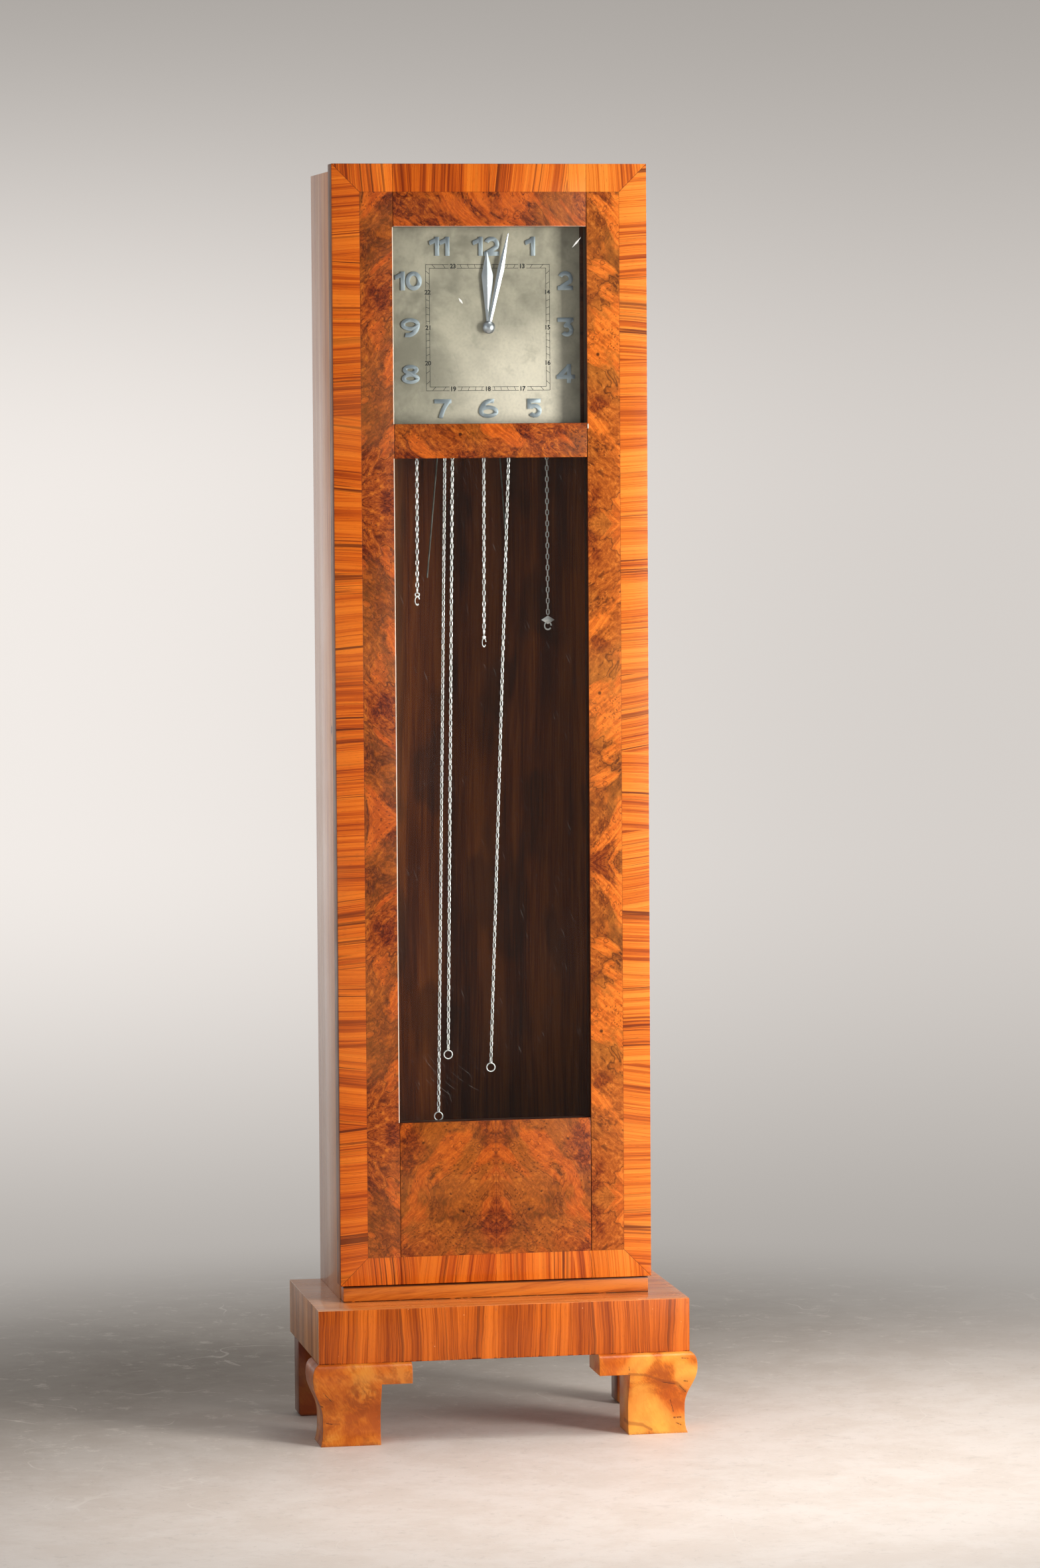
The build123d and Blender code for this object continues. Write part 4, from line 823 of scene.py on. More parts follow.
@dataclass(frozen=True)
class CaseVeneer:
    """Straight walnut on the outer sides of the case, the left one paled by a painted sheen, dark stain
    within.
    """

    inner: float = at_side("case_side_right", Side.LEFT)
    damage: tuple[float, float, float] = (-0.2325, -0.011, 1.055)

    def build(self) -> Finish:
        """Makes the material.

        Returns:
            The case sides' finish.
        """
        graph = WoodGraph("case_side_veneer")
        x, y, z = graph.axes()
        tone = graph.straight_grain(z, y, x, 2.0)
        pores = graph.pores(z, y, x)
        colour = graph.ramp(
            tone,
            (0.0, paint(200, 116, 64)),
            (0.5, paint(228, 148, 92)),
            (1.0, paint(242, 170, 114)),
        )
        colour = graph.mix(pores * 0.35, colour, paint(96, 56, 34))
        # painted sheen: the left side keeps the pale ramp, which stands for the pale surroundings it reflects
        # at a grazing angle; the right side is darkened
        colour = graph.mix(x.rise(-0.1, 0.1), colour, (0.66, 0.52, 0.42, 1.0), "MULTIPLY")
        # darker towards the bottom of the left side, most in the pores
        darker_low_left = z.fall(0.45, 1.15) * x.fall(-0.1, 0.1)
        colour = graph.mix(darker_low_left * (0.3 + pores * 0.5), colour, paint(128, 88, 62))
        weathered = graph.noise(graph.vector(x, y * 0.5, z * 0.15), 10.0, 3.0).rise(0.4, 0.65) * 0.2
        colour = graph.mix(weathered, colour, paint(208, 162, 132))
        inside = abs(x).fall(self.inner + 0.0001, self.inner + 0.0006)
        dark_tone = graph.straight_grain(z, y, x, 6.0)
        stain = graph.ramp(dark_tone, (0.0, paint(34, 20, 13)), (1.0, paint(66, 38, 24)))
        colour = graph.mix(inside, colour, stain)
        to_damage = graph.add(
            "ShaderNodeVectorMath",
            {"operation": "DISTANCE"},
            {0: graph.warped(graph.place(), 160.0, 0.012), 1: self.damage},
            "Value",
        )
        bruise = to_damage.fall(0.004, 0.011)
        colour = graph.mix(bruise * 0.8, colour, paint(60, 32, 20))
        smear = graph.noise(graph.place(), 9.0, 4.0, 0.6).rise(0.3, 0.7)
        return graph.finish(
            colour,
            roughness=0.36 + smear * 0.14,
            normal=graph.bump(tone * 0.5 - pores * 0.5 - bruise, 0.0001),
            coat=0.85,
            coat_roughness=0.16,
            specular=0.4,
        )


@dataclass(frozen=True)
class RailWood:
    """The plain honey-coloured rail under the door, its figure running aslant."""

    foot: float = at_side("front_rail", Side.FOOT)
    head: float = at_side("front_rail", Side.HEAD)

    def build(self) -> Finish:
        """Makes the material.

        Returns:
            The rail's finish.
        """
        graph = WoodGraph("rail_wood")
        x, y, z = graph.axes()
        slant = z - x * 0.09
        bend = graph.noise(graph.vector(x, y, z * 3.0), 7.0, 2.0) - 0.5
        lane = graph.vector(slant + bend * 0.02, x * 0.05, y)
        broad = graph.noise(lane, 60.0, 3.0, 0.55)
        fine = graph.noise(lane, 700.0, 2.0)
        tone = (broad * 0.75 + fine * 0.25).rise(0.36, 0.62)
        colour = graph.ramp(
            tone, (0.0, paint(142, 68, 20)), (0.5, paint(194, 101, 30)), (1.0, paint(214, 122, 42))
        )
        pores = graph.pores(x, z, y)
        colour = graph.mix(pores * 0.35, colour, paint(116, 58, 24))
        dark_foot_line = graph.noise(graph.place(), 90.0, 2.0).rise(0.25, 0.42)
        dark_foot_line = z.fall(self.foot + 0.0010, self.foot + 0.0022) * dark_foot_line
        # painted shadow of the door along the top of the rail; the rail is also darker along its foot
        shade = z.rise(self.head - 0.0026, self.head - 0.0014)
        colour = graph.mix(dark_foot_line.most(shade) * 0.85, colour, paint(52, 16, 6))
        return graph.finish(
            colour,
            roughness=0.3,
            normal=graph.bump(tone * 0.4 - pores * 0.4, 0.00012),
            coat=0.25,
            coat_roughness=0.08,
            specular=0.25,
        )


@dataclass(frozen=True)
class FootWood:
    """Solid golden walnut of the feet, mottled, with dark checks and worn patches."""

    name: str = "foot_wood"
    shade: float = 0.0
    front: float = -0.11
    checks: tuple[Mark, ...] = ()
    veins: tuple[Mark, ...] = ()

    def build(self) -> Finish:
        """Makes the material.

        Returns:
            The feet's finish; shade is painted shade, darkening it towards a reddish brown for the back feet,
            which stand in shadow under the plinth.
        """
        graph = WoodGraph(self.name)
        x, y, z = graph.axes()
        left = x.fall(-0.1, 0.1)
        flow = graph.warped(graph.place(), 11.0, 0.05)
        fine_flow = graph.warped(flow, 50.0, 0.008)
        flow_x, flow_y, flow_z = graph.parts(fine_flow)
        clouds = graph.noise(flow, 14.0, 2.0, 0.5)
        mottle = graph.noise(fine_flow, 48.0, 3.0, 0.6, 0.6)
        fibres = graph.noise(graph.vector(flow_x + flow_z * 0.5, flow_y, flow_z * 0.2), 420.0, 2.0)
        tone = (clouds * 0.62 + mottle * 0.22 + fibres * 0.16).rise(0.38, 0.62)
        colour = graph.ramp(
            tone,
            (0.0, paint(176, 84, 18)),
            (0.35, paint(212, 112, 24)),
            (0.7, paint(232, 136, 38)),
            (1.0, paint(244, 164, 64)),
        )
        colour = graph.mix((1.0 - left) * clouds.rise(0.44, 0.56) * 0.6, colour, paint(250, 176, 74))
        red = graph.noise(flow, 9.0, 2.0).rise(0.50, 0.62)
        colour = graph.mix(red * 0.3, colour, paint(206, 88, 18))
        patches = graph.noise(fine_flow, 26.0, 4.0, 0.65).rise(0.50, 0.62)
        colour = graph.mix(patches * (0.08 + left * 0.42), colour, paint(116, 50, 14))
        swirl = graph.distance(flow_x, flow_z, (-0.222, 0.072)).fall(0.010, 0.044)
        slanted = graph.vector(flow_x + flow_z, flow_y, (flow_z - flow_x) * 0.25)
        grained = graph.noise(slanted, 150.0, 3.0, 0.6)
        colour = graph.mix(swirl * grained.rise(0.40, 0.58) * 0.6, colour, paint(104, 46, 12))
        colour = graph.mix(left * 0.46, colour, paint(150, 66, 14))
        specks = graph.cells(graph.place(), 210.0).fall(0.05, 0.14)
        specks = specks * graph.noise(graph.place(), 60.0, 1.0).rise(0.5, 0.58)
        colour = graph.mix(specks * 0.5, colour, paint(96, 44, 14))
        on_front = y.fall(self.front, self.front + 0.004)
        near_x, near_z = flow_x * 0.35 + x * 0.65, flow_z * 0.35 + z * 0.65
        vein = graph.most_of(graph.stroke(near_x, near_z, mark) for mark in self.veins)
        colour = graph.mix(vein * on_front * 0.5, colour, paint(132, 62, 24))
        check = graph.most_of(graph.stroke(x, z, mark) for mark in self.checks) * on_front
        check = check.most(z.fall(0.0, 0.005) * 0.5)
        rough = graph.noise(graph.place(), 500.0, 2.0).rise(0.36, 0.5)
        colour = graph.mix(check * rough * 0.7, colour, paint(48, 22, 10))
        # painted shade, for the back feet
        colour = graph.mix(self.shade, colour, paint(84, 30, 14))
        smear = graph.noise(graph.place(), 26.0, 4.0, 0.6).rise(0.3, 0.7)
        return graph.finish(
            colour,
            roughness=0.3 + smear * 0.16,
            normal=graph.bump(tone * 0.4 - check - specks * 0.3, 0.0003),
            coat=0.3,
            coat_roughness=0.1,
            specular=0.2,
        )


@dataclass(frozen=True)
class PlainWood:
    """Carcase wood: one tone of stain over straight grain."""

    name: str
    dark: Colour
    light: Colour
    roughness: float = 0.5
    upright: bool = True

    def build(self) -> Finish:
        """Makes the material.

        Returns:
            The finish.
        """
        graph = WoodGraph(self.name)
        x, y, z = graph.axes()
        along, across = (z, x) if self.upright else (x, z)
        tone = graph.straight_grain(along, across + y, y, 1.7)
        pores = graph.pores(along, across, y)
        clouds = graph.noise(graph.place(), 6.0, 3.0).rise(0.35, 0.7)
        colour = graph.ramp(tone, (0.0, self.dark), (1.0, self.light))
        colour = graph.mix(clouds * 0.3, colour, self.dark)
        colour = graph.mix(pores * 0.4, colour, paint(24, 14, 9))
        return graph.finish(
            colour, roughness=self.roughness + tone * 0.1, normal=graph.bump(tone * 0.5 - pores * 0.5, 0.0002)
        )


@dataclass(frozen=True)
class BackBoardWood:
    """The back board: dark walnut within, bare plain board without."""

    back: float = at_side("back_board", Side.BACK)

    def build(self) -> Finish:
        """Makes the material.

        Returns:
            The back board's finish.
        """
        graph = WoodGraph("back_board_wood")
        x, y, z = graph.axes()
        tone = graph.straight_grain(z, x, y)
        broad = graph.noise(graph.vector(x, z * 0.06, y), 13.0, 2.0).rise(0.35, 0.65)
        inside = graph.ramp(
            tone, (0.0, paint(80, 32, 8)), (0.5, paint(118, 56, 17)), (1.0, paint(146, 76, 27))
        )
        inside = graph.mix(broad * 0.4, inside, paint(70, 30, 10))
        shadows = graph.noise(graph.vector(x, z * 0.35, y), 16.0, 2.0).rise(0.52, 0.62)
        inside = graph.mix(shadows * 0.4, inside, paint(26, 14, 10))
        # painted light: a warm pale patch on the left of the board, where light through the trunk window
        # falls
        painted_light_patch = x.fall(-0.150, -0.085) * z.rise(0.5, 1.3) * 0.6
        inside = graph.mix(painted_light_patch, inside, paint(206, 146, 92))
        pores = graph.pores(z, x, y)
        inside = graph.mix(pores * 0.4, inside, paint(20, 11, 8))
        outside = graph.ramp(
            tone, (0.0, paint(128, 88, 56)), (0.6, paint(166, 122, 80)), (1.0, paint(188, 146, 100))
        )
        stains = graph.noise(graph.place(), 4.0, 4.0, 0.65).rise(0.45, 0.7) * 0.35
        outside = graph.mix(stains, outside, paint(104, 70, 46))
        rear = y.rise(self.back - 0.0045, self.back - 0.0035)
        colour = graph.mix(rear, inside, outside)
        return graph.finish(
            colour,
            roughness=0.55 + rear * 0.15,
            normal=graph.bump(tone * 0.5 - pores * 0.5, 0.00025),
            specular=0.12,
        )


# ---- metal, glass and print
@dataclass(frozen=True)
class SilveredPlate:
    """Silvered and lacquered brass that has gone cloudy."""

    def build(self) -> Finish:
        """Makes the material.

        Returns:
            The dial plate's finish.
        """
        graph = Graph("silvered_dial")
        x, y, z = graph.axes()
        centre = middle_of("dial_plate").z
        clouds = graph.noise(graph.warped(graph.place(), 12.0, 0.04), 14.0, 4.0, 0.6).rise(0.34, 0.66)
        fine = graph.noise(graph.place(), 240.0, 3.0, 0.6)
        brushed = graph.noise(graph.vector(x * 0.05, y, z), 2600.0, 1.0)
        # painted light: a pale patch on the dial, lower middle and right, where it catches the most light
        painted_light_patch = x.rise(-0.11, 0.05) * z.fall(centre - 0.09, centre + 0.06) * x.fall(0.08, 0.15)
        colour = graph.mix(clouds, paint(150, 145, 128), paint(194, 187, 167))
        colour = graph.mix(painted_light_patch * 0.8, colour, paint(254, 244, 224))
        stain = graph.noise(graph.warped(graph.place(), 20.0, 0.02), 30.0, 3.0, 0.6).rise(0.56, 0.72)
        colour = graph.mix(stain * 0.22, colour, paint(122, 122, 108))
        spots = graph.cells(graph.place(), 70.0).fall(0.03, 0.06) * clouds
        colour = graph.mix(spots * 0.4, colour, paint(104, 100, 84))
        colour = graph.mix(fine.rise(0.4, 0.7) * 0.12, colour, paint(120, 120, 108))
        return graph.finish(
            colour,
            metallic=0.45,
            roughness=0.44 + clouds * 0.12 + stain * 0.1,
            normal=graph.bump(brushed * 0.7 + fine * 0.3, 0.00002),
            coat=0.15,
        )


@dataclass(frozen=True)
class Metal:
    """A worked metal, brushed one way, with handling marks."""

    name: str
    clean: Colour
    tarnish: Colour
    roughness: float = 0.3
    spread: float = 0.2
    tarnished: float = 0.4
    scratch: float = 0.00002
    metallic: float = 1.0

    def build(self) -> Finish:
        """Makes the material.

        Returns:
            The finish.
        """
        graph = Graph(self.name)
        x, y, z = graph.axes()
        brushed = graph.noise(graph.vector(x, y, z * 0.06), 2400.0, 2.0)
        marks = graph.noise(graph.place(), 46.0, 4.0, 0.65).rise(0.38, 0.68)
        specks = graph.noise(graph.place(), 420.0, 3.0, 0.7).rise(0.58, 0.7)
        colour = graph.mix(marks * self.tarnished, self.clean, self.tarnish)
        colour = graph.mix(specks * self.tarnished * 0.5, colour, self.tarnish)
        return graph.finish(
            colour,
            metallic=self.metallic,
            roughness=self.roughness + marks * self.spread,
            normal=graph.bump(brushed, self.scratch),
        )


@dataclass(frozen=True)
class WheelBrass:
    """Brass of a wheel, with the steel of its arbor and pinion at the middle."""

    name: str
    axis: tuple[float, float]
    arbor: float = 0.0034

    def build(self) -> Finish:
        """Makes the material.

        Returns:
            The wheel's finish.
        """
        graph = Graph(self.name)
        x, y, z = graph.axes()
        radius = graph.distance(x, z, self.axis)
        turned = graph.noise(graph.vector(radius, y * 0.2, 0.0), 3000.0, 2.0)
        marks = graph.noise(graph.place(), 60.0, 3.0, 0.6).rise(0.4, 0.65)
        brass = graph.mix(marks * 0.5, paint(206, 172, 98), paint(150, 112, 56))
        steel = graph.mix(marks * 0.4, paint(150, 148, 144), paint(96, 92, 88))
        colour = graph.mix(radius.fall(self.arbor, self.arbor + 0.0003), brass, steel)
        return graph.finish(
            colour, metallic=1.0, roughness=0.26 + marks * 0.2, normal=graph.bump(turned, 0.00003)
        )


@dataclass(frozen=True)
class PaintedGlassGlint:
    """A painted glint on a pane, a small white mark where light catches the glass: its middle, half its
    length and width, and its slope.
    """

    x: float
    z: float
    length: float
    width: float
    slope: float


@dataclass(frozen=True)
class WindowGlass:
    """Clear drawn glass with polishing scratches, a little dust and any painted glints."""

    name: str
    scuff_centre: tuple[float, float] = (0.060, 0.680)
    scuff_box: tuple[float, float, float, float] = (-0.128, -0.012, 0.498, 0.585)
    painted_glints: tuple[PaintedGlassGlint, ...] = ()

    def build(self) -> Finish:
        """Makes the material.

        Returns:
            The glass.
        """
        graph = Graph(self.name)
        x, _, z = graph.axes()
        radius = graph.distance(x, z, self.scuff_centre)
        rings = graph.noise(graph.vector(radius, 0.0, 0.0), 900.0, 1.0).rise(0.62, 0.68)
        left, right, low, high = self.scuff_box
        window = x.rise(left, left + 0.03) * x.fall(right - 0.03, right)
        window = window * z.rise(low, low + 0.02) * z.fall(high - 0.03, high)
        broken = graph.noise(graph.place(), 40.0, 2.0).rise(0.48, 0.6)
        scuffs = rings * window * broken * 0.12
        slanted = graph.vector(x + z * 0.4, 0.0, z * 0.04 - x * 0.1)
        hairs = graph.noise(slanted, 500.0, 1.0).rise(0.70, 0.73) * 0.03
        dust = graph.noise(graph.place(), 700.0, 1.0).rise(0.72, 0.78) * 0.04
        film = 0.0004 + graph.noise(graph.place(), 8.0, 3.0).rise(0.4, 0.7) * 0.0012
        # painted glints on the pane, joined to the real scuffs, hairs and dust
        painted_glints = graph.most_of(self._painted_glint(x, z, chip) for chip in self.painted_glints)
        haze_and_glints = scuffs.most(hairs).most(dust).most(painted_glints) + film
        fresnel = graph.add("ShaderNodeFresnel", None, {"IOR": 1.5})
        clear = graph.add("ShaderNodeBsdfTransparent", None, {"Color": (0.965, 0.975, 0.97, 1.0)})
        mirror = graph.surface((1.0, 1.0, 1.0, 1.0), metallic=1.0, roughness=0.015)
        dusty = graph.surface((0.86, 0.85, 0.82, 1.0), roughness=0.5)
        return graph.show(graph.blend(haze_and_glints, graph.blend(fresnel * 0.15, clear, mirror), dusty))

    @staticmethod
    def _painted_glint(x: Value, z: Value, chip: PaintedGlassGlint) -> Value:
        """Is 1 on a painted glint and fades to 0 at its edge.

        Args:
            x: Across the pane.
            z: Up the pane.
            chip: The painted glint.

        Returns:
            A number from 0 to 1.
        """
        run, rise = math.cos(chip.slope), math.sin(chip.slope)
        along = (x - chip.x) * run + (z - chip.z) * rise
        over = (z - chip.z) * run - (x - chip.x) * rise
        return (abs(along) / chip.length + abs(over) / chip.width).fall(0.8, 1.0)


@dataclass(frozen=True)
class DialInk:
    """Dark grey enamel print, worn thin in places."""

    def build(self) -> Finish:
        """Makes the material.

        Returns:
            The print's finish.
        """
        graph = Graph("dial_ink")
        worn = graph.noise(graph.place(), 300.0, 3.0, 0.7).rise(0.42, 0.7)
        colour = graph.mix(worn * 0.3, paint(28, 28, 25), paint(84, 83, 75))
        return graph.finish(colour, roughness=0.55 + worn * 0.1)


# ---- pieces and screws
def settled(bm: Mesh, name: str, smooth_angle: float = 30.0) -> Piece:
    """Turns a bmesh into an object at the origin, with outward normals and soft shading.

    Args:
        bm: The mesh, freed afterwards.
        name: The piece's name.
        smooth_angle: Edges flatter than this are shaded smooth, in degrees.

    Returns:
        The object, linked to the scene.
    """
    bmesh.ops.recalc_face_normals(bm, faces=bm.faces[:])
    limit = math.radians(smooth_angle)
    for face in bm.faces:
        face.smooth = True
    for edge in bm.edges:
        edge.smooth = len(edge.link_faces) == 2 and edge.calc_face_angle(math.pi) < limit
    mesh = bpy.data.meshes.new(name)
    bm.to_mesh(mesh)
    bm.free()
    piece = bpy.data.objects.new(name, mesh)
    bpy.context.scene.collection.objects.link(piece)
    return piece


def add_part(bm: Mesh, part: Mesh) -> None:
    """Adds a part to a mesh.

    Args:
        bm: The mesh.
        part: The part, freed afterwards.
    """
    scratch = bpy.data.meshes.new("part")
    part.to_mesh(scratch)
    part.free()
    bm.from_mesh(scratch)
    bpy.data.meshes.remove(scratch)


def geometry_of(items: Iterable[Any], kind: type) -> list[Any]:
    """The items of one kind, such as the vertices, of what an operator gives back."""
    return [item for item in items if isinstance(item, kind)]


def finish_piece(piece: Piece, finish: Finish) -> None:
    """Puts one finish all over a piece or a CAD node."""
    piece.data.materials.clear()
    piece.data.materials.append(finish)


def dressed(piece: Piece, body: str, finish: Finish) -> Piece:
    """Gives a piece its finish and its body.

    Args:
        piece: The piece.
        body: The body that it moves with.
        finish: Its material.

    Returns:
        The piece.
    """
    finish_piece(piece, finish)
    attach(piece, body)
    return piece


def round_over(bm: Mesh, edges: list[Any], radius: float, segments: int = 1, clamp: bool = False) -> None:
    """Rounds edges over.

    Args:
        bm: The mesh.
        edges: Its edges.
        radius: How far the rounding reaches.
        segments: Steps round it.
        clamp: Whether it stops short of the next one.
    """
    bmesh.ops.bevel(
        bm,
        geom=edges,
        offset=radius,
        offset_type="OFFSET",
        affect="EDGES",
        segments=segments,
        profile=0.5,
        material=-1,
        clamp_overlap=clamp,
    )


@dataclass(frozen=True)
class EasedCopy:
    """A copy that stands in for a CAD node, its edges rounded over where they are sharper than the angle."""

    node: str
    name: str
    finish: Finish
    radius: float
    segments: int = 2
    angle: float = 40.0
    smooth_angle: float = 50.0
    slot: str = "walnut_veneer"
    body: str = "case"
    shows: Callable[[Vector], bool] | None = None

    def build(self, nodes: Nodes) -> Piece:
        """Makes the copy.

        Args:
            nodes: The CAD nodes by name.

        Returns:
            The new piece, linked to the scene.
        """
        bm = bmesh.new()
        bm.from_mesh(nodes[self.node].data)
        bmesh.ops.remove_doubles(bm, verts=bm.verts[:], dist=1e-6)
        bmesh.ops.dissolve_limit(bm, angle_limit=math.radians(1.0), verts=bm.verts[:], edges=bm.edges[:])
        edges = [edge for edge in bm.edges if self._is_rounded(edge)]
        round_over(bm, edges, self.radius, self.segments, clamp=True)
        piece = settled(bm, self.name, self.smooth_angle)
        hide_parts(self.node)
        return dressed(piece, self.body, self.finish)

    def _is_rounded(self, edge: bmesh.types.BMEdge) -> bool:
        """Whether an edge is sharp and shows."""
        sharp = len(edge.link_faces) == 2 and edge.calc_face_angle(0.0) > math.radians(self.angle)
        return sharp and (self.shows is None or self.shows((edge.verts[0].co + edge.verts[1].co) / 2))


@dataclass(frozen=True)
class WoodScrew:
    """A slotted screw head, let in nearly flush."""

    radius: float = 0.0032
    slot_width: float = 0.0008
    slot_depth: float = 0.0007
    stand: float = 0.00008
    sides: int = 20

    def add_to(self, bm: Mesh, place: Vector, faces: Side, spin: float) -> None:
        """Adds one head.

        Args:
            bm: The mesh that it goes into.
            place: Middle of the surface that it is let into.
            faces: Which way it faces, to the front or the back.
            spin: Direction of its slot, in radians.
        """
        head = bmesh.new()
        bmesh.ops.create_cone(
            head,
            cap_ends=True,
            segments=self.sides,
            radius1=self.radius,
            radius2=self.radius * 0.96,
            depth=self.slot_depth,
        )
        half = bmesh.ops.bisect_plane(
            head,
            geom=head.verts[:] + head.edges[:] + head.faces[:],
            plane_co=(self.slot_width / 2, 0.0, 0.0),
            plane_no=(1.0, 0.0, 0.0),
            clear_inner=True,
        )
        bmesh.ops.holes_fill(head, edges=geometry_of(half["geom_cut"], bmesh.types.BMEdge), sides=0)
        top = [edge for edge in head.edges if all(vert.co.z > 0.0 for vert in edge.verts)]
        round_over(head, top, self.slot_depth * 0.25)
        other = bmesh.ops.duplicate(head, geom=head.verts[:] + head.edges[:] + head.faces[:])
        turned = geometry_of(other["geom"], bmesh.types.BMVert)
        bmesh.ops.rotate(head, cent=(0.0, 0.0, 0.0), matrix=Matrix.Rotation(math.pi, 3, "Z"), verts=turned)
        bmesh.ops.create_cone(
            head,
            cap_ends=True,
            segments=self.sides,
            radius1=self.radius * 0.9,
            radius2=self.radius * 0.98,
            depth=self.slot_depth,
            matrix=Matrix.Translation((0.0, 0.0, -self.slot_depth * 0.85)),
        )
        faced = Matrix.Rotation(math.radians(90.0 if faces is Side.FRONT else -90.0), 4, "X")
        out = Vector((0.0, -1.0 if faces is Side.FRONT else 1.0, 0.0))
        lift = out * (self.stand - self.slot_depth / 2)
        bmesh.ops.transform(
            head,
            matrix=Matrix.Translation(place + lift) @ faced @ Matrix.Rotation(spin, 4, "Z"),
            verts=head.verts[:],
        )
        add_part(bm, head)


# ---- chains
class Fitting(Enum):
    """What hangs at the end of a fall of chain."""

    OPEN_HOOK = "open_hook"
    SMALL_PLATE = "small_plate"
    LOZENGE_PLATE = "lozenge_plate"
    RING = "ring"


@dataclass(frozen=True)
class StampedPlate:
    """The stamped plate of a weight hook, drawn out to four points."""

    drop: float
    width: float
    height: float
    thickness: float = 0.0016
    waist: float = 0.78
    ease: float = 0.0002

    def add_to(self, bm: Mesh, foot: Vector) -> None:
        """Adds the plate.

        Args:
            bm: The mesh that it goes into.
            foot: End of the chain.
        """
        plate = bmesh.new()
        bmesh.ops.create_circle(plate, cap_ends=True, segments=4, radius=0.5)
        corners = set(plate.verts)
        bmesh.ops.subdivide_edges(plate, edges=plate.edges[:], cuts=1)
        between = [vert for vert in plate.verts if vert not in corners]
        bmesh.ops.scale(plate, vec=(self.waist, self.waist, 1.0), verts=between)
        bmesh.ops.scale(plate, vec=(self.width, self.height, 1.0), verts=plate.verts[:])
        raised = bmesh.ops.extrude_face_region(plate, geom=plate.faces[:])["geom"]
        lifted = geometry_of(raised, bmesh.types.BMVert)
        bmesh.ops.translate(plate, verts=lifted, vec=(0.0, 0.0, self.thickness))
        round_over(plate, plate.edges[:], self.ease)
        middle = foot + Vector((0.0, self.thickness / 2, -self.drop))
        stand = Matrix.Translation(middle) @ Matrix.Rotation(math.pi / 2, 4, "X")
        bmesh.ops.transform(plate, matrix=stand, verts=plate.verts[:])
        add_part(bm, plate)


@dataclass(frozen=True)
class WireBow:
    """A bow of round wire, a closed ring or an open hook, round or oval.

    The radius runs to the middle of the wire, the gap is in degrees, and the turn is where the bow starts.
    """

    drop: float
    radius: float
    wire: float
    gap: float = 0.0
    turn: float = 0.0
    wider: float = 1.0
    taller: float = 1.0
    steps: int = 40
    wire_sides: int = 10

    def add_to(self, bm: Mesh, foot: Vector) -> None:
        """Adds the bow.

        Args:
            bm: The mesh that it goes into.
            foot: End of the chain.
        """
        bow = bmesh.new()
        closed = self.gap == 0.0
        at_radius = Matrix.Translation((self.radius, 0.0, 0.0))
        bmesh.ops.create_circle(
            bow, cap_ends=not closed, segments=self.wire_sides, radius=self.wire, matrix=at_radius
        )
        bmesh.ops.spin(
            bow,
            geom=bow.edges[:] if closed else bow.faces[:] + bow.edges[:] + bow.verts[:],
            cent=(0.0, 0.0, 0.0),
            axis=(0.0, 1.0, 0.0),
            dvec=(0.0, 0.0, 0.0),
            angle=math.tau - math.radians(self.gap),
            steps=self.steps,
            use_merge=closed,
            use_duplicate=False,
        )
        bmesh.ops.remove_doubles(bow, verts=bow.verts[:], dist=1e-6)
        middle = Matrix.Translation(foot - Vector((0.0, 0.0, self.drop)))
        oval = Matrix.Diagonal((self.wider, 1.0, self.taller, 1.0))
        stand = middle @ oval @ Matrix.Rotation(self.turn, 4, "Y")
        bmesh.ops.transform(bow, matrix=stand, verts=bow.verts[:])
        bmesh.ops.recalc_face_normals(bow, faces=bow.faces[:])
        add_part(bm, bow)


FITTINGS: dict[Fitting, tuple[Union[StampedPlate, WireBow], ...]] = {
    Fitting.RING: (WireBow(drop=0.0063, radius=0.0063, wire=0.0009),),
    Fitting.OPEN_HOOK: (
        WireBow(drop=0.0024, radius=0.0024, wire=0.0008, wider=1.3, taller=1.2),
        WireBow(drop=0.0112, radius=0.0042, wire=0.0010, gap=70.0, turn=0.9, wider=0.8, taller=1.5),
    ),
    Fitting.SMALL_PLATE: (
        StampedPlate(drop=0.0040, width=0.0080, height=0.0090),
        WireBow(drop=0.0118, radius=0.0044, wire=0.0009, gap=40.0, turn=0.6, wider=0.62, taller=1.5),
    ),
    Fitting.LOZENGE_PLATE: (
        StampedPlate(drop=0.0080, width=0.0260, height=0.0165),
        WireBow(drop=0.0168, radius=0.0050, wire=0.0011, gap=35.0, turn=0.6, taller=1.15),
    ),
}


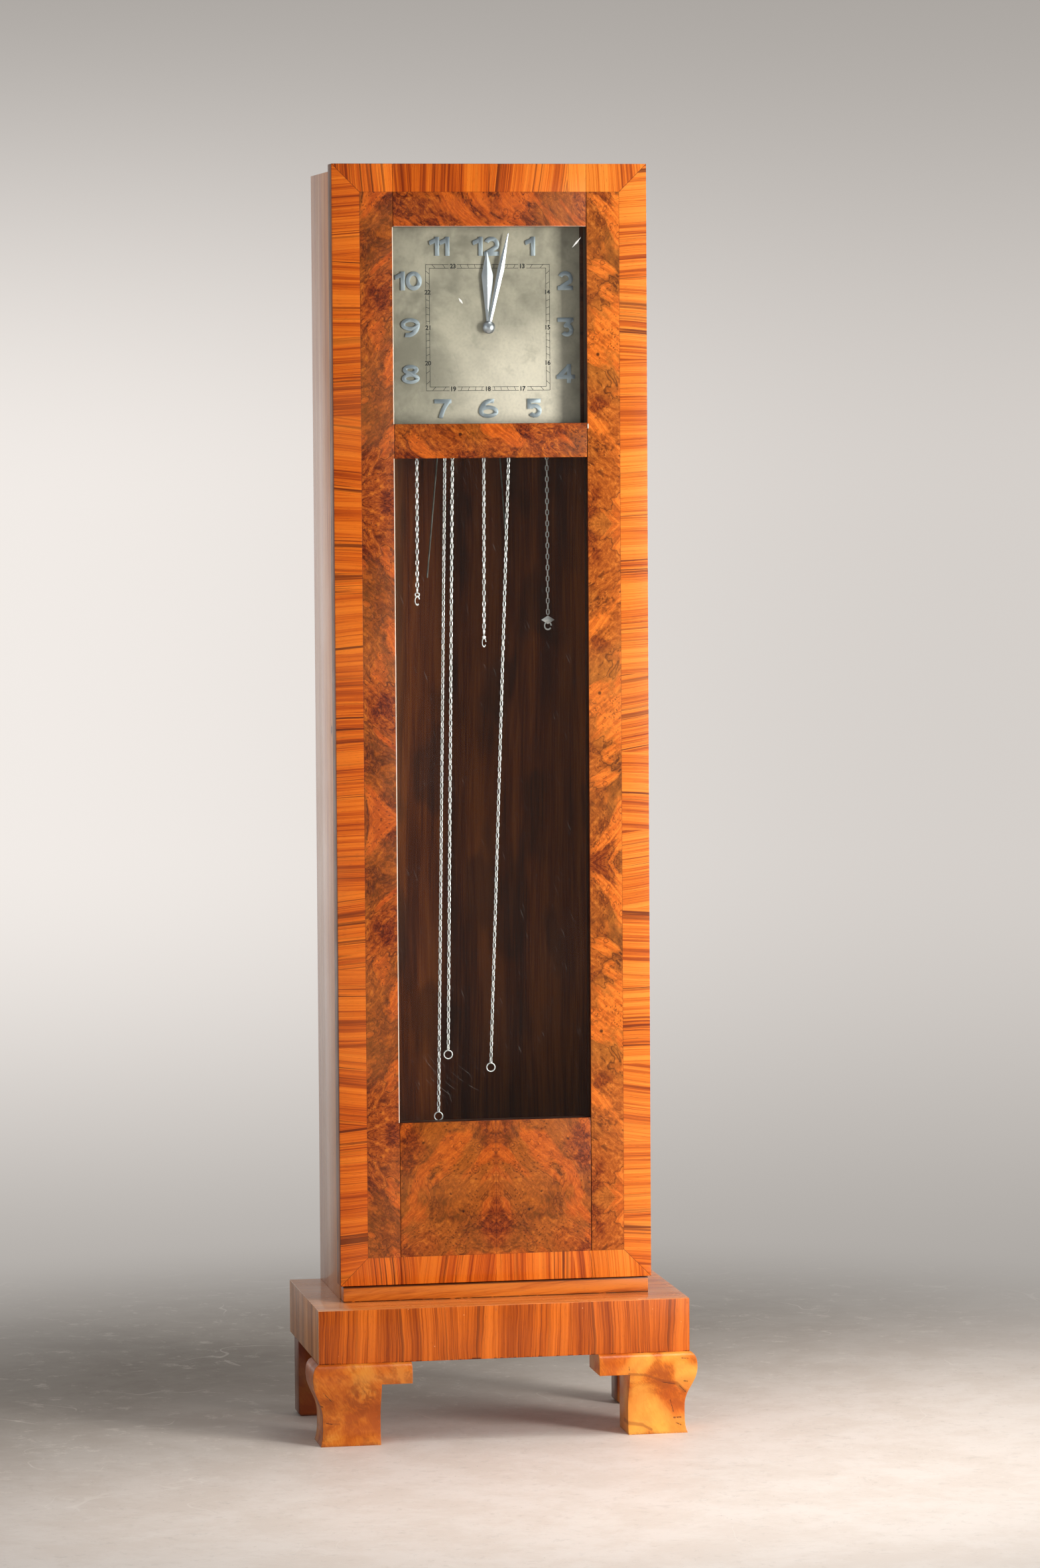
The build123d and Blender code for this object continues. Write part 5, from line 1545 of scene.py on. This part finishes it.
@dataclass(frozen=True)
class ChainFall:
    """One hanging run of oval links with its hook or ring.

    The lean is how far its lower end is to the right of its upper one, and the turns are in radians.
    """

    train: str
    fitting: Fitting
    side: Side
    end_z: float
    lean: float
    first_turn: float = 0.0
    slow_twist: float = 0.0
    seat: float = 0.001
    plane: float = 0.016
    top_z: float = 1.606
    pitch: float = 0.0083
    width: float = 0.0058
    wire: float = 0.00095
    arc_steps: int = 4
    wire_sides: int = 6
    hook_reach: float = 0.0185
    ring_reach: float = 0.0135
    spare_links: int = 3

    def link(self) -> bpy.types.Mesh:
        """Makes one upright oval link by sweeping a round wire.

        Returns:
            The link about the origin, in the x-z plane.
        """
        bm = bmesh.new()
        arc = self.width / 2 - self.wire
        straight = self.pitch - 2 * arc
        bmesh.ops.create_circle(
            bm,
            cap_ends=False,
            segments=self.wire_sides,
            radius=self.wire,
            matrix=Matrix.Translation((arc, 0.0, -straight / 2)),
        )
        ring = bm.edges[:]
        for side in (1.0, -1.0):
            run = bmesh.ops.extrude_edge_only(bm, edges=ring)["geom"]
            moved = geometry_of(run, bmesh.types.BMVert)
            bmesh.ops.translate(bm, verts=moved, vec=(0.0, 0.0, side * straight))
            ring = geometry_of(run, bmesh.types.BMEdge)
            turned = bmesh.ops.spin(
                bm,
                geom=ring,
                cent=(0.0, 0.0, side * straight / 2),
                axis=(0.0, -1.0, 0.0),
                dvec=(0.0, 0.0, 0.0),
                angle=math.pi,
                steps=self.arc_steps,
                use_duplicate=False,
            )
            ring = geometry_of(turned["geom_last"], bmesh.types.BMEdge)
        bmesh.ops.remove_doubles(bm, verts=bm.verts[:], dist=1e-5)
        bmesh.ops.recalc_face_normals(bm, faces=bm.faces[:])
        mesh = bpy.data.meshes.new("link")
        bm.to_mesh(mesh)
        bm.free()
        return mesh

    def build(self, finish: Finish) -> Piece:
        """Hangs the links and the fitting.

        Args:
            finish: Their steel.

        Returns:
            The piece, standing for its CAD node.
        """
        is_ring = self.fitting is Fitting.RING
        hang = self.ring_reach if is_ring else self.hook_reach
        drop = self.top_z - self.end_z
        inward = self.seat if self.side is Side.LEFT else -self.seat
        top_x = side_of(f"{self.train}_sprocket", self.side) + inward
        foot = Vector((top_x + self.lean * (drop - hang) / drop, self.plane, self.end_z + hang))
        head = Vector((top_x, self.plane, self.top_z))
        up = (head - foot).normalized()
        aside = Vector((0.0, 1.0, 0.0)).cross(up)
        stand = Matrix((aside, Vector((0.0, 1.0, 0.0)), up)).transposed()
        link = self.link()
        bm = bmesh.new()
        count = round((head - foot).length / self.pitch) + (0 if is_ring else self.spare_links)
        for index in range(count):
            first = len(bm.verts)
            bm.from_mesh(link)
            bm.verts.ensure_lookup_table()
            angle = self.first_turn + index * (math.pi / 2 + self.slow_twist)
            centre = foot + up * (self.pitch * (index + 0.5))
            turn = stand @ Matrix.Rotation(angle, 3, "Z")
            place = Matrix.Translation(centre) @ turn.to_4x4()
            bmesh.ops.transform(bm, matrix=place, verts=bm.verts[first:])
        bpy.data.meshes.remove(link)
        for part in FITTINGS[self.fitting]:
            part.add_to(bm, foot)
        kind = "ring" if is_ring else "hook"
        piece = settled(bm, f"{self.train}_{kind}_links", 60.0)
        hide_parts(f"{self.train}_chain_{kind}")
        return dressed(piece, f"{self.train}_{kind}", finish)


@dataclass
class Chains:
    """The three chains, each with a hook's fall and a ring's fall."""

    falls: tuple[ChainFall, ...] = (
        ChainFall("strike", Fitting.OPEN_HOOK, Side.LEFT, 1.2372, -0.0017, 1.05, -0.008),
        ChainFall("strike", Fitting.RING, Side.RIGHT, 0.4596, -0.0194, 0.80, -0.002),
        ChainFall("going", Fitting.SMALL_PLATE, Side.RIGHT, 1.1741, -0.0023, 0.95, -0.006, spare_links=0),
        ChainFall("going", Fitting.RING, Side.LEFT, 0.5527, -0.0150, 0.78, 0.001),
        ChainFall("chime", Fitting.LOZENGE_PLATE, Side.RIGHT, 1.2027, 0.0006),
        ChainFall("chime", Fitting.RING, Side.LEFT, 0.5316, -0.0390, 0.74, 0.001),
    )

    def build(self) -> list[Piece]:
        """Hangs every fall.

        Returns:
            The pieces.
        """
        pale, shade = paint(255, 255, 252), paint(224, 222, 216)
        steel = Metal("chain_steel", pale, shade, 0.30, 0.12, 0.3, metallic=0.5).build()
        return [fall.build(steel) for fall in self.falls]


# ---- dial
@dataclass
class DialTrack:
    """The printed inner ring: two squares, sixty minute marks and the hours 13 to 24."""

    outer: float = 0.0933
    inner: float = 0.0878
    line: float = 0.0007
    tick: float = 0.00065
    ink: float = 0.00004
    row: float = 0.0908
    column: float = 0.0905
    step: float = 0.0524
    figure_height: float = 0.0068
    gap_wide: float = 0.0062
    gap_high: float = 0.0046

    def figures(self) -> dict[str, tuple[float, float]]:
        """Where the middle of each small figure is.

        Returns:
            Its place from the dial's centre, by the figure.
        """
        row, column, step = self.row, self.column, self.step
        return {
            "13": (step, row),
            "14": (column, step),
            "15": (column, 0.0),
            "16": (column, -step),
            "17": (step, -row),
            "18": (0.0, -row),
            "19": (-step, -row),
            "20": (-column, -step),
            "21": (-column, 0.0),
            "22": (-column, step),
            "23": (-step, row),
            "24": (0.0, row),
        }

    def build(self, finish: Finish) -> Piece:
        """Prints the ring.

        Args:
            finish: The ink.

        Returns:
            The printed piece.
        """
        bm = bmesh.new()
        for half in (self.outer, self.inner):
            for sign in (-1.0, 1.0):
                for start, end in self._runs(half):
                    self._add_stroke(bm, (start, sign * half), (end, sign * half), self.line)
                for start, end in self._runs(half, upright=True):
                    self._add_stroke(bm, (sign * half, start), (sign * half, end), self.line)
        for minute in range(60):
            angle = math.tau * minute / 60
            aim = Vector((math.sin(angle), math.cos(angle)))
            reach = max(abs(aim.x), abs(aim.y))
            inside = aim * (self.inner / reach)
            outside = aim * (self.outer / reach)
            middle = (inside + outside) / 2
            if not self._hidden(middle):
                self._add_stroke(bm, tuple(inside), tuple(outside), self.tick)
        ring = settled(bm, "dial_hour_track", 30.0)
        figures = [self._figure(text, place) for text, place in self.figures().items()]
        joined = bmesh.new()
        joined.from_mesh(ring.data)
        for mesh in figures:
            joined.from_mesh(mesh)
            bpy.data.meshes.remove(mesh)
        joined.to_mesh(ring.data)
        joined.free()
        return dressed(ring, "case", finish)

    @staticmethod
    def _spot(place: Sequence[float]) -> Vector:
        """A place on the dial's face, given from its centre."""
        centre = middle_of("dial_plate")
        return Vector((centre.x + place[0], side_of("dial_plate", Side.FRONT), centre.z + place[1]))

    def _hidden(self, spot: Vector) -> bool:
        """Whether a mark would run into a figure."""
        wide, high = self.gap_wide, self.gap_high + 0.001
        return any(abs(spot.x - x) < wide and abs(spot.y - z) < high for x, z in self.figures().values())

    def _runs(self, half: float, upright: bool = False) -> list[tuple[float, float]]:
        """Cuts one side of a square where the figures break it.

        Args:
            half: Half of the square's side.
            upright: Whether the side is a vertical one.

        Returns:
            Start and end of each piece of line.
        """
        gap = self.gap_high if upright else self.gap_wide
        stops = [-half]
        for middle in (-self.step, 0.0, self.step):
            stops += [middle - gap, middle + gap]
        stops.append(half)
        return list(zip(stops[0::2], stops[1::2]))

    def _add_stroke(self, bm: Mesh, start: Sequence[float], end: Sequence[float], width: float) -> None:
        """Adds one straight printed line.

        Args:
            bm: The mesh.
            start: One end, from the dial's centre.
            end: Other end.
            width: How wide the line is.
        """
        first, last = self._spot(start), self._spot(end)
        run = last - first
        slope = math.atan2(run.z, run.x)
        shape = Matrix.Diagonal((run.length, self.ink * 2, width, 1.0))
        place = Matrix.Translation((first + last) / 2) @ Matrix.Rotation(-slope, 4, "Y") @ shape
        bmesh.ops.create_cube(bm, size=1.0, matrix=place)

    def _figure(self, text: str, place: tuple[float, float]) -> bpy.types.Mesh:
        """Makes one pair of small figures as a thin mesh.

        Args:
            text: The figures.
            place: Their middle, from the dial's centre.

        Returns:
            The mesh, in place.
        """
        curve = bpy.data.curves.new(f"figure_{text}", "FONT")
        curve.body = text
        curve.size = self.figure_height * 1.38
        curve.align_x = "CENTER"
        curve.align_y = "CENTER"
        curve.extrude = self.ink
        curve.offset = 0.0003
        curve.space_character = 0.95
        curve.resolution_u = 3
        holder = bpy.data.objects.new("figure", curve)
        mesh = bpy.data.meshes.new_from_object(holder)
        bpy.data.objects.remove(holder)
        bpy.data.curves.remove(curve)
        shape = bmesh.new()
        shape.from_mesh(mesh)
        bmesh.ops.remove_doubles(shape, verts=shape.verts[:], dist=1e-7)
        xs = [vert.co.x for vert in shape.verts]
        ys = [vert.co.y for vert in shape.verts]
        middle = Vector(((min(xs) + max(xs)) / 2, (min(ys) + max(ys)) / 2, 0.0))
        upright = Matrix.Translation(self._spot(place)) @ Matrix.Rotation(math.pi / 2, 4, "X")
        stand = upright @ Matrix.Translation(-middle)
        bmesh.ops.transform(shape, matrix=stand, verts=shape.verts[:])
        shape.to_mesh(mesh)
        shape.free()
        return mesh


@dataclass
class Dial:
    """Dial plate with its mask, numerals, print and hands."""

    numeral_edge: float = 0.0009
    track: DialTrack = field(default_factory=DialTrack)

    def build(self, nodes: Nodes) -> list[Piece]:
        """Dresses the dial.

        Args:
            nodes: The CAD nodes by name.

        Returns:
            The new pieces.
        """
        mask = PlainWood("mask_wood", paint(52, 26, 15), paint(98, 56, 32), 0.4, False).build()
        finish_piece(nodes["dial_plate"], SilveredPlate().build())
        finish_piece(nodes["dial_mask"], mask)
        pale, shade = paint(186, 198, 205), paint(150, 162, 168)
        chrome = Metal("numeral_chrome", pale, shade, 0.32, 0.04, 0.2, 0.000004).build()
        pale, shade = paint(208, 214, 220), paint(166, 172, 180)
        hand = Metal("hand_chrome", pale, shade, 0.32, 0.03, 0.25, 0.000004).build()
        for name in ("hour_hand", "minute_hand"):
            finish_piece(nodes[name], hand)
        numerals = EasedCopy(
            "dial_numerals", "chromed_numerals", chrome, self.numeral_edge, 3, 50.0, slot="chrome"
        )
        return [numerals.build(nodes), self.track.build(DialInk().build())]


# ---- case
@dataclass
class Door:
    """The glazed door: veneered members, glasses and beads."""

    ease: float = 0.0010
    members: tuple[str, ...] = ("stile_left", "stile_right", "top_rail", "middle_rail", "bottom_panel")
    # painted glints on the dial glass
    dial_glass_glints: tuple[PaintedGlassGlint, ...] = (
        PaintedGlassGlint(-0.043, 1.69, 0.006, 0.0017, -0.95),
        PaintedGlassGlint(0.132, 1.776, 0.0115, 0.0013, 0.86),
    )

    def build(self, nodes: Nodes) -> list[Piece]:
        """Dresses the door.

        Args:
            nodes: The CAD nodes by name.

        Returns:
            The new pieces.
        """
        veneer = DoorVeneer().build()
        dial_glass = WindowGlass("dial_window_glass", painted_glints=self.dial_glass_glints).build()
        beads = PlainWood("bead_wood", paint(44, 24, 14), paint(84, 50, 30), 0.45).build()
        finish_piece(nodes["dial_glass"], dial_glass)
        finish_piece(nodes["trunk_glass"], WindowGlass("trunk_window_glass").build())
        finish_piece(nodes["glazing_beads"], beads)
        return [
            EasedCopy(name, f"veneered_{name}", veneer, self.ease, body="door").build(nodes)
            for name in self.members
        ]


@dataclass
class Case:
    """Sides, top, floor, back and the rail under the door."""

    ease: float = 0.0006
    back_margin: float = 0.011
    screw_rows: int = 6
    screw: WoodScrew = WoodScrew()

    def build(self, nodes: Nodes) -> list[Piece]:
        """Dresses the case.

        Args:
            nodes: The CAD nodes by name.

        Returns:
            The new pieces.
        """
        sides = CaseVeneer().build()
        top = PlainWood("case_top_wood", paint(112, 62, 32), paint(170, 104, 58), 0.4, False).build()
        copies = (
            EasedCopy("case_side_left", "veneered_case_side_left", sides, self.ease),
            EasedCopy("case_side_right", "veneered_case_side_right", sides, self.ease),
            EasedCopy("case_top", "eased_case_top", top, self.ease),
            EasedCopy("front_rail", "eased_front_rail", RailWood().build(), self.ease),
        )
        dark = PlainWood("stained_inner_wood", paint(30, 17, 11), paint(66, 40, 26), 0.5).build()
        for name in ("case_floor", "seat_board"):
            finish_piece(nodes[name], dark)
        finish_piece(nodes["back_board"], BackBoardWood().build())
        return [copy.build(nodes) for copy in copies] + [self._back_screws()]

    def _back_screws(self) -> Piece:
        """Puts the screws round the back board.

        Returns:
            The screws.
        """
        low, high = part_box("back_board")
        middle = middle_of("back_board").x
        margin = self.back_margin
        bm = bmesh.new()
        rng = random.Random(12)
        places = []
        for side in (-1.0, 1.0):
            x = middle + side * ((high.x - low.x) / 2 - margin)
            for row in range(self.screw_rows):
                share = row / (self.screw_rows - 1)
                places.append((x, low.z + margin + (high.z - low.z - 2 * margin) * share))
        places += [(middle, low.z + margin), (middle, high.z - margin)]
        for x, z in places:
            self.screw.add_to(bm, Vector((x, high.y, z)), Side.BACK, rng.uniform(0.0, math.pi))
        steel = Metal("screw_steel", paint(150, 140, 120), paint(84, 70, 54), 0.4, 0.2, 0.7).build()
        return dressed(settled(bm, "back_board_screws", 30.0), "case", steel)


FOOT_VEINS = (
    Mark((0.187, 0.094), (0.212, 0.090), 0.003),
    Mark((0.212, 0.090), (0.237, 0.079), 0.003),
    Mark((0.237, 0.079), (0.262, 0.074), 0.004),
    Mark((0.262, 0.074), (0.275, 0.061), 0.004),
    Mark((0.184, 0.020), (0.209, 0.013), 0.004),
    Mark((0.209, 0.013), (0.223, 0.005), 0.003),
    Mark((-0.272, 0.034), (-0.254, 0.032), 0.002),
)
FOOT_CHECKS = (
    Mark((0.237, 0.079), (0.256, 0.076), 0.001),
    Mark((0.262, 0.074), (0.275, 0.061), 0.001),
    Mark((0.251, 0.050), (0.254, 0.040), 0.001),
    Mark((0.254, 0.040), (0.256, 0.032), 0.001),
    Mark((0.257, 0.023), (0.267, 0.023), 0.002),
    Mark((0.260, 0.015), (0.267, 0.012), 0.0015),
    Mark((0.266, 0.115), (0.276, 0.114), 0.001),
    Mark((0.270, 0.080), (0.275, 0.079), 0.0015),
    Mark((0.185, 0.105), (0.186, 0.100), 0.001),
    Mark((-0.274, 0.082), (-0.262, 0.069), 0.001),
    Mark((-0.281, 0.063), (-0.274, 0.060), 0.0015),
    Mark((-0.269, 0.035), (-0.260, 0.033), 0.001),
)


@dataclass
class Base:
    """Plinth and feet."""

    plinth_ease: float = 0.0005
    foot_ease: float = 0.0026
    skin: float = 0.0005

    def _outside(self, middle: Vector) -> bool:
        """Whether an edge of the plinth is on its outside, not at a joint between its boards."""
        half_width = side_of("plinth_front", Side.RIGHT) - self.skin
        return abs(middle.x) > half_width or middle.y < side_of("plinth_front", Side.FRONT) + self.skin

    def build(self, nodes: Nodes) -> list[Piece]:
        """Dresses the plinth and the feet.

        Args:
            nodes: The CAD nodes by name.

        Returns:
            The new pieces.
        """
        veneer = PlinthVeneer().build()
        for name in ("plinth_top", "plinth_back_rail"):
            finish_piece(nodes[name], veneer)
        copies = [
            EasedCopy(name, f"veneered_{name}", veneer, self.plinth_ease, shows=self._outside)
            for name in ("plinth_front", "plinth_side_left", "plinth_side_right")
        ]
        golden = FootWood(checks=FOOT_CHECKS, veins=FOOT_VEINS).build()
        copies += [
            EasedCopy(name, f"carved_{name}", golden, self.foot_ease, 3, 35.0)
            for name in ("foot_front_left", "foot_front_right")
        ]
        # the back feet get painted shade
        brown = FootWood("back_foot_wood_painted_shade", 0.8).build()
        copies += [
            EasedCopy(name, f"eased_{name}", brown, self.foot_ease * 0.6, angle=35.0)
            for name in ("foot_back_left", "foot_back_right")
        ]
        return [copy.build(nodes) for copy in copies]


@dataclass
class Movement:
    """Metal parts of the movement, gong and hinges."""

    brass_nodes: tuple[str, ...] = (
        "front_plate",
        "back_plate",
        "case_hinge_leaves",
        "door_hinge_leaves",
        "catch_tongue",
        "catch_body",
    )
    steel_nodes: tuple[str, ...] = ("plate_pillars", "pendulum_cock", "catch_ball")
    turned_parts: tuple[str, ...] = ("wheel", "sprocket", "pinion", "anchor", "hammers")
    hinge_length: float = 0.064
    case_leaf_face: float = -0.0424
    door_leaf_face: float = -0.0426
    screw_x: float = 0.2260
    screw_spacing: float = 0.021
    screw: WoodScrew = WoodScrew()

    def build(self, nodes: Nodes) -> list[Piece]:
        """Dresses the movement.

        Args:
            nodes: The CAD nodes by name.

        Returns:
            The new pieces.
        """
        brass = Metal("rolled_brass", paint(204, 168, 92), paint(142, 104, 52), 0.28, 0.2, 0.5).build()
        steel = Metal("turned_steel", paint(158, 156, 152), paint(98, 94, 90), 0.3, 0.2, 0.5).build()
        pale, shade = paint(132, 134, 124), paint(76, 72, 64)
        gong = Metal("gong_steel", pale, shade, 0.4, 0.2, 0.6, metallic=0.7).build()
        for name in self.brass_nodes:
            finish_piece(nodes[name], brass)
        for name in self.steel_nodes:
            finish_piece(nodes[name], steel)
        finish_piece(nodes["rod_gong"], gong)
        for name, node in nodes.items():
            if any(part in name for part in self.turned_parts):
                centre = middle_of(name)
                finish_piece(node, WheelBrass(f"{name}_metal", (centre.x, centre.z)).build())
        return [
            self._hinge_screws("case", self.case_leaf_face, Side.FRONT, brass),
            self._hinge_screws("door", self.door_leaf_face, Side.BACK, brass),
        ]

    def _hinge_screws(self, body: str, face: float, faces: Side, finish: Finish) -> Piece:
        """Puts three screws in each leaf of one side of the hinges.

        Args:
            body: The body that the leaves ride on.
            face: The leaves' open face.
            faces: Which way it looks.
            finish: The screws' metal.

        Returns:
            The screws.
        """
        lowest = side_of("case_hinge_leaves", Side.FOOT) + self.hinge_length / 2
        highest = side_of("case_hinge_leaves", Side.HEAD) - self.hinge_length / 2
        bm = bmesh.new()
        rng = random.Random(31 if faces is Side.FRONT else 47)
        for height in (lowest, (lowest + highest) / 2, highest):
            for step in (-1, 0, 1):
                place = Vector((self.screw_x, face, height + step * self.screw_spacing))
                self.screw.add_to(bm, place, faces, rng.uniform(0.0, math.pi))
        return dressed(settled(bm, f"{body}_hinge_screws", 30.0), body, finish)


# ---- studio
BACKDROP_PALE = paint(242, 236, 231)
BACKDROP_DIM = paint(168, 163, 158)


@dataclass(frozen=True)
class Softbox:
    """A rectangular soft light, its power in watts and the spread of its beam in degrees."""

    name: str
    place: tuple[float, float, float]
    aim: tuple[float, float, float]
    size: tuple[float, float]
    power: float
    colour: tuple[float, float, float]
    spread: float = 180.0

    def add(self) -> Piece:
        """Adds the light.

        Returns:
            The light, linked to the scene.
        """
        light = bpy.data.lights.new(self.name, "AREA")
        light.shape = "RECTANGLE"
        light.size, light.size_y = self.size
        light.energy = self.power
        light.spread = math.radians(self.spread)
        light.color = self.colour
        lamp = bpy.data.objects.new(self.name, light)
        turn = (Vector(self.aim) - Vector(self.place)).to_track_quat("-Z", "Y")
        lamp.matrix_world = Matrix.Translation(self.place) @ turn.to_matrix().to_4x4()
        bpy.context.scene.collection.objects.link(lamp)
        return lamp


@dataclass
class Studio:
    """Floor, light and camera."""

    focal: float = 8322.0
    long_side: float = 2364.0
    sensor: float = 36.0
    eye: tuple[float, float, float] = (-1.4364, -8.1389, 1.5491)
    turn: tuple[float, float, float] = (0.0694, -0.1813, -0.0126)
    view_axis: tuple[float, float] = (0.174, 0.985)
    stand_off: float = 8.3
    floor_size: float = 400.0
    key: Softbox = Softbox(
        "key_softbox", (3.1, -3.2, 1.40), (0.0, 0.0, 1.15), (1.1, 2.2), 190.0, (1.0, 0.965, 0.92)
    )
    fill: Softbox = Softbox(
        "left_fill", (-3.2, -3.6, 2.2), (0.0, 0.0, 0.9), (2.4, 2.4), 18.0, (0.92, 0.96, 1.0)
    )
    floor_light: Softbox = Softbox(
        "floor_softbox", (1.3, -1.3, 3.2), (0.9, -1.35, 0.0), (1.8, 1.8), 18.0, (1.0, 0.98, 0.95), 75.0
    )
    chain_light: Softbox = Softbox(
        "chain_softbox", (1.6, -4.6, 1.3), (0.0, 0.0, 1.1), (0.7, 1.8), 56.0, (1.0, 1.0, 1.0)
    )

    def build(self) -> None:
        """Sets up the camera, the floor, the surroundings and the lights."""
        self._camera()
        self._floor()
        self._surroundings()
        for light in (self.key, self.fill, self.floor_light):
            light.add()

    def _camera(self) -> None:
        """Puts the camera at the viewing angle."""
        turn = Vector(self.turn)
        seen = Matrix.Rotation(turn.length, 3, turn.normalized())
        upright = Matrix(((1.0, 0.0, 0.0), (0.0, 0.0, -1.0), (0.0, 1.0, 0.0)))
        flip = Matrix.Diagonal((1.0, -1.0, -1.0))
        lens = bpy.data.cameras.new("viewing_camera")
        lens.sensor_width = self.sensor
        lens.lens = self.focal / self.long_side * self.sensor
        lens.clip_end = 1000.0
        camera = bpy.data.objects.new("viewing_camera", lens)
        bpy.context.scene.collection.objects.link(camera)
        camera.matrix_world = Matrix.Translation(self.eye) @ (flip @ seen @ upright).transposed().to_4x4()
        bpy.context.scene.camera = camera

    def _floor(self) -> None:
        """Lays the floor, which fades into the pale surroundings further off."""
        graph = Graph("studio_floor")
        x, y, _ = graph.axes()
        ahead = abs(x * self.view_axis[0] + y * self.view_axis[1]) + self.stand_off
        aside = x * self.view_axis[1] - y * self.view_axis[0]
        away = (x * x + y * y).root()
        slope = self.eye[2] / ahead
        lateral = aside / ahead
        stains = graph.noise(graph.warped(graph.place(), 2.0, 0.2), 7.0, 6.0, 0.75)
        scuffs = graph.noise(graph.warped(graph.place(), 6.0, 0.1), 26.0, 5.0, 0.75).rise(0.55, 0.68)
        lit = (x * 0.45 - y * 0.9).rise(-0.75, 0.45)
        pale = graph.mix(lit, paint(158, 151, 143), paint(240, 230, 222))
        deep = graph.mix(lit, paint(148, 140, 132), paint(232, 220, 210))
        near = graph.mix(stains.rise(0.38, 0.62), deep, pale)
        near = graph.mix(scuffs * 0.3, near, paint(244, 237, 228))
        worn = graph.noise(graph.warped(graph.place(), 9.0, 0.08), 55.0, 5.0, 0.75).rise(0.54, 0.68)
        near = graph.mix(worn * 0.22, near, paint(172, 162, 152))
        cracks = graph.noise(graph.warped(graph.place(), 4.0, 0.3), 3.0, 2.0).line(0.5, 0.0025)
        cracks = cracks * graph.noise(graph.place(), 5.0, 1.0).rise(0.5, 0.6)
        near = graph.mix(cracks * 0.3, near, paint(250, 244, 236))
        grit = graph.cells(graph.place(), 26.0).fall(0.02, 0.035)
        near = graph.mix(grit * 0.5, near, paint(120, 112, 104))
        ground = graph.surface(near, roughness=0.55, specular=0.3)
        side = self.backdrop(graph, -slope, lateral)
        glow = graph.add("ShaderNodeEmission", None, {"Color": side, "Strength": 1.0})
        graph.show(graph.blend(away.rise(0.6, 1.9), ground, glow))
        bm = bmesh.new()
        bmesh.ops.create_grid(bm, x_segments=1, y_segments=1, size=self.floor_size / 2)
        for face in bm.faces:
            if face.normal.z < 0:
                face.normal_flip()
        mesh = bpy.data.meshes.new("studio_floor")
        bm.to_mesh(mesh)
        bm.free()
        floor = bpy.data.objects.new("studio_floor", mesh)
        floor.data.materials.append(graph.owner)
        bpy.context.scene.collection.objects.link(floor)

    @staticmethod
    def backdrop(graph: Graph, height: Value, lateral: Value) -> Value:
        """Colour of the pale surroundings, brighter on the left and towards eye level.

        Args:
            graph: The tree.
            height: Slope up from the eye's level.
            lateral: Slope to the right of the view's axis.

        Returns:
            The colour.
        """
        glow = height.rise(-0.18, -0.08) * height.fall(-0.02, 0.09)
        glow = glow * (1.0 - lateral.rise(-0.1, 0.1) * 0.45)
        return graph.mix(glow, BACKDROP_DIM, BACKDROP_PALE)

    def _surroundings(self) -> None:
        """Fills the studio with soft light, paler behind the clock than in front of it."""
        world = bpy.data.worlds.new("studio_surroundings")
        bpy.context.scene.world = world
        graph = Graph("studio_surroundings", world)
        x, y, z = graph.parts(graph.add("ShaderNodeTexCoord", output="Generated"))
        ahead = x * self.view_axis[0] + y * self.view_axis[1]
        aside = x * self.view_axis[1] - y * self.view_axis[0]
        flat = abs(ahead).most(0.05)
        back = self.backdrop(graph, z / flat, aside / flat)
        dim = graph.mix(z.rise(0.0, 0.9), (0.15, 0.16, 0.175, 1.0), (0.42, 0.42, 0.42, 1.0))
        colour = graph.mix(ahead.rise(-0.35, 0.35), dim, back)
        graph.show(graph.add("ShaderNodeBackground", None, {"Color": colour}))
        bpy.context.scene.view_settings.view_transform = "Standard"

    def sparkle(self, pieces: Iterable[Piece]) -> None:
        """Adds a light that reaches the given bright pieces alone, as a narrow spot would.

        Args:
            pieces: The pieces.
        """
        lamp = self.chain_light.add()
        lit = bpy.data.collections.new("lit_by_chain_softbox")
        for piece in pieces:
            lit.objects.link(piece)
        lamp.light_linking.receiver_collection = lit


def log_pieces(pieces: Iterable[Piece]) -> None:
    """Logs each piece with its number of faces."""
    for piece in pieces:
        LOG.info("%s: %d faces", piece.name, len(piece.data.polygons))


def main() -> None:
    """Loads the frame and builds each class in order."""
    logging.basicConfig(level=logging.INFO, format="%(name)s: %(message)s")
    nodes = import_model()["nodes"]
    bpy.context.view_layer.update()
    studio = Studio()
    studio.build()
    LOG.info("studio ready")
    for assembly in (Base(), Case(), Door(), Dial(), Movement()):
        log_pieces(assembly.build(nodes))
    chains = Chains().build()
    log_pieces(chains)
    studio.sparkle(piece for piece in chains if piece.name != "chime_hook_links")


if __name__ == "__main__":
    main()
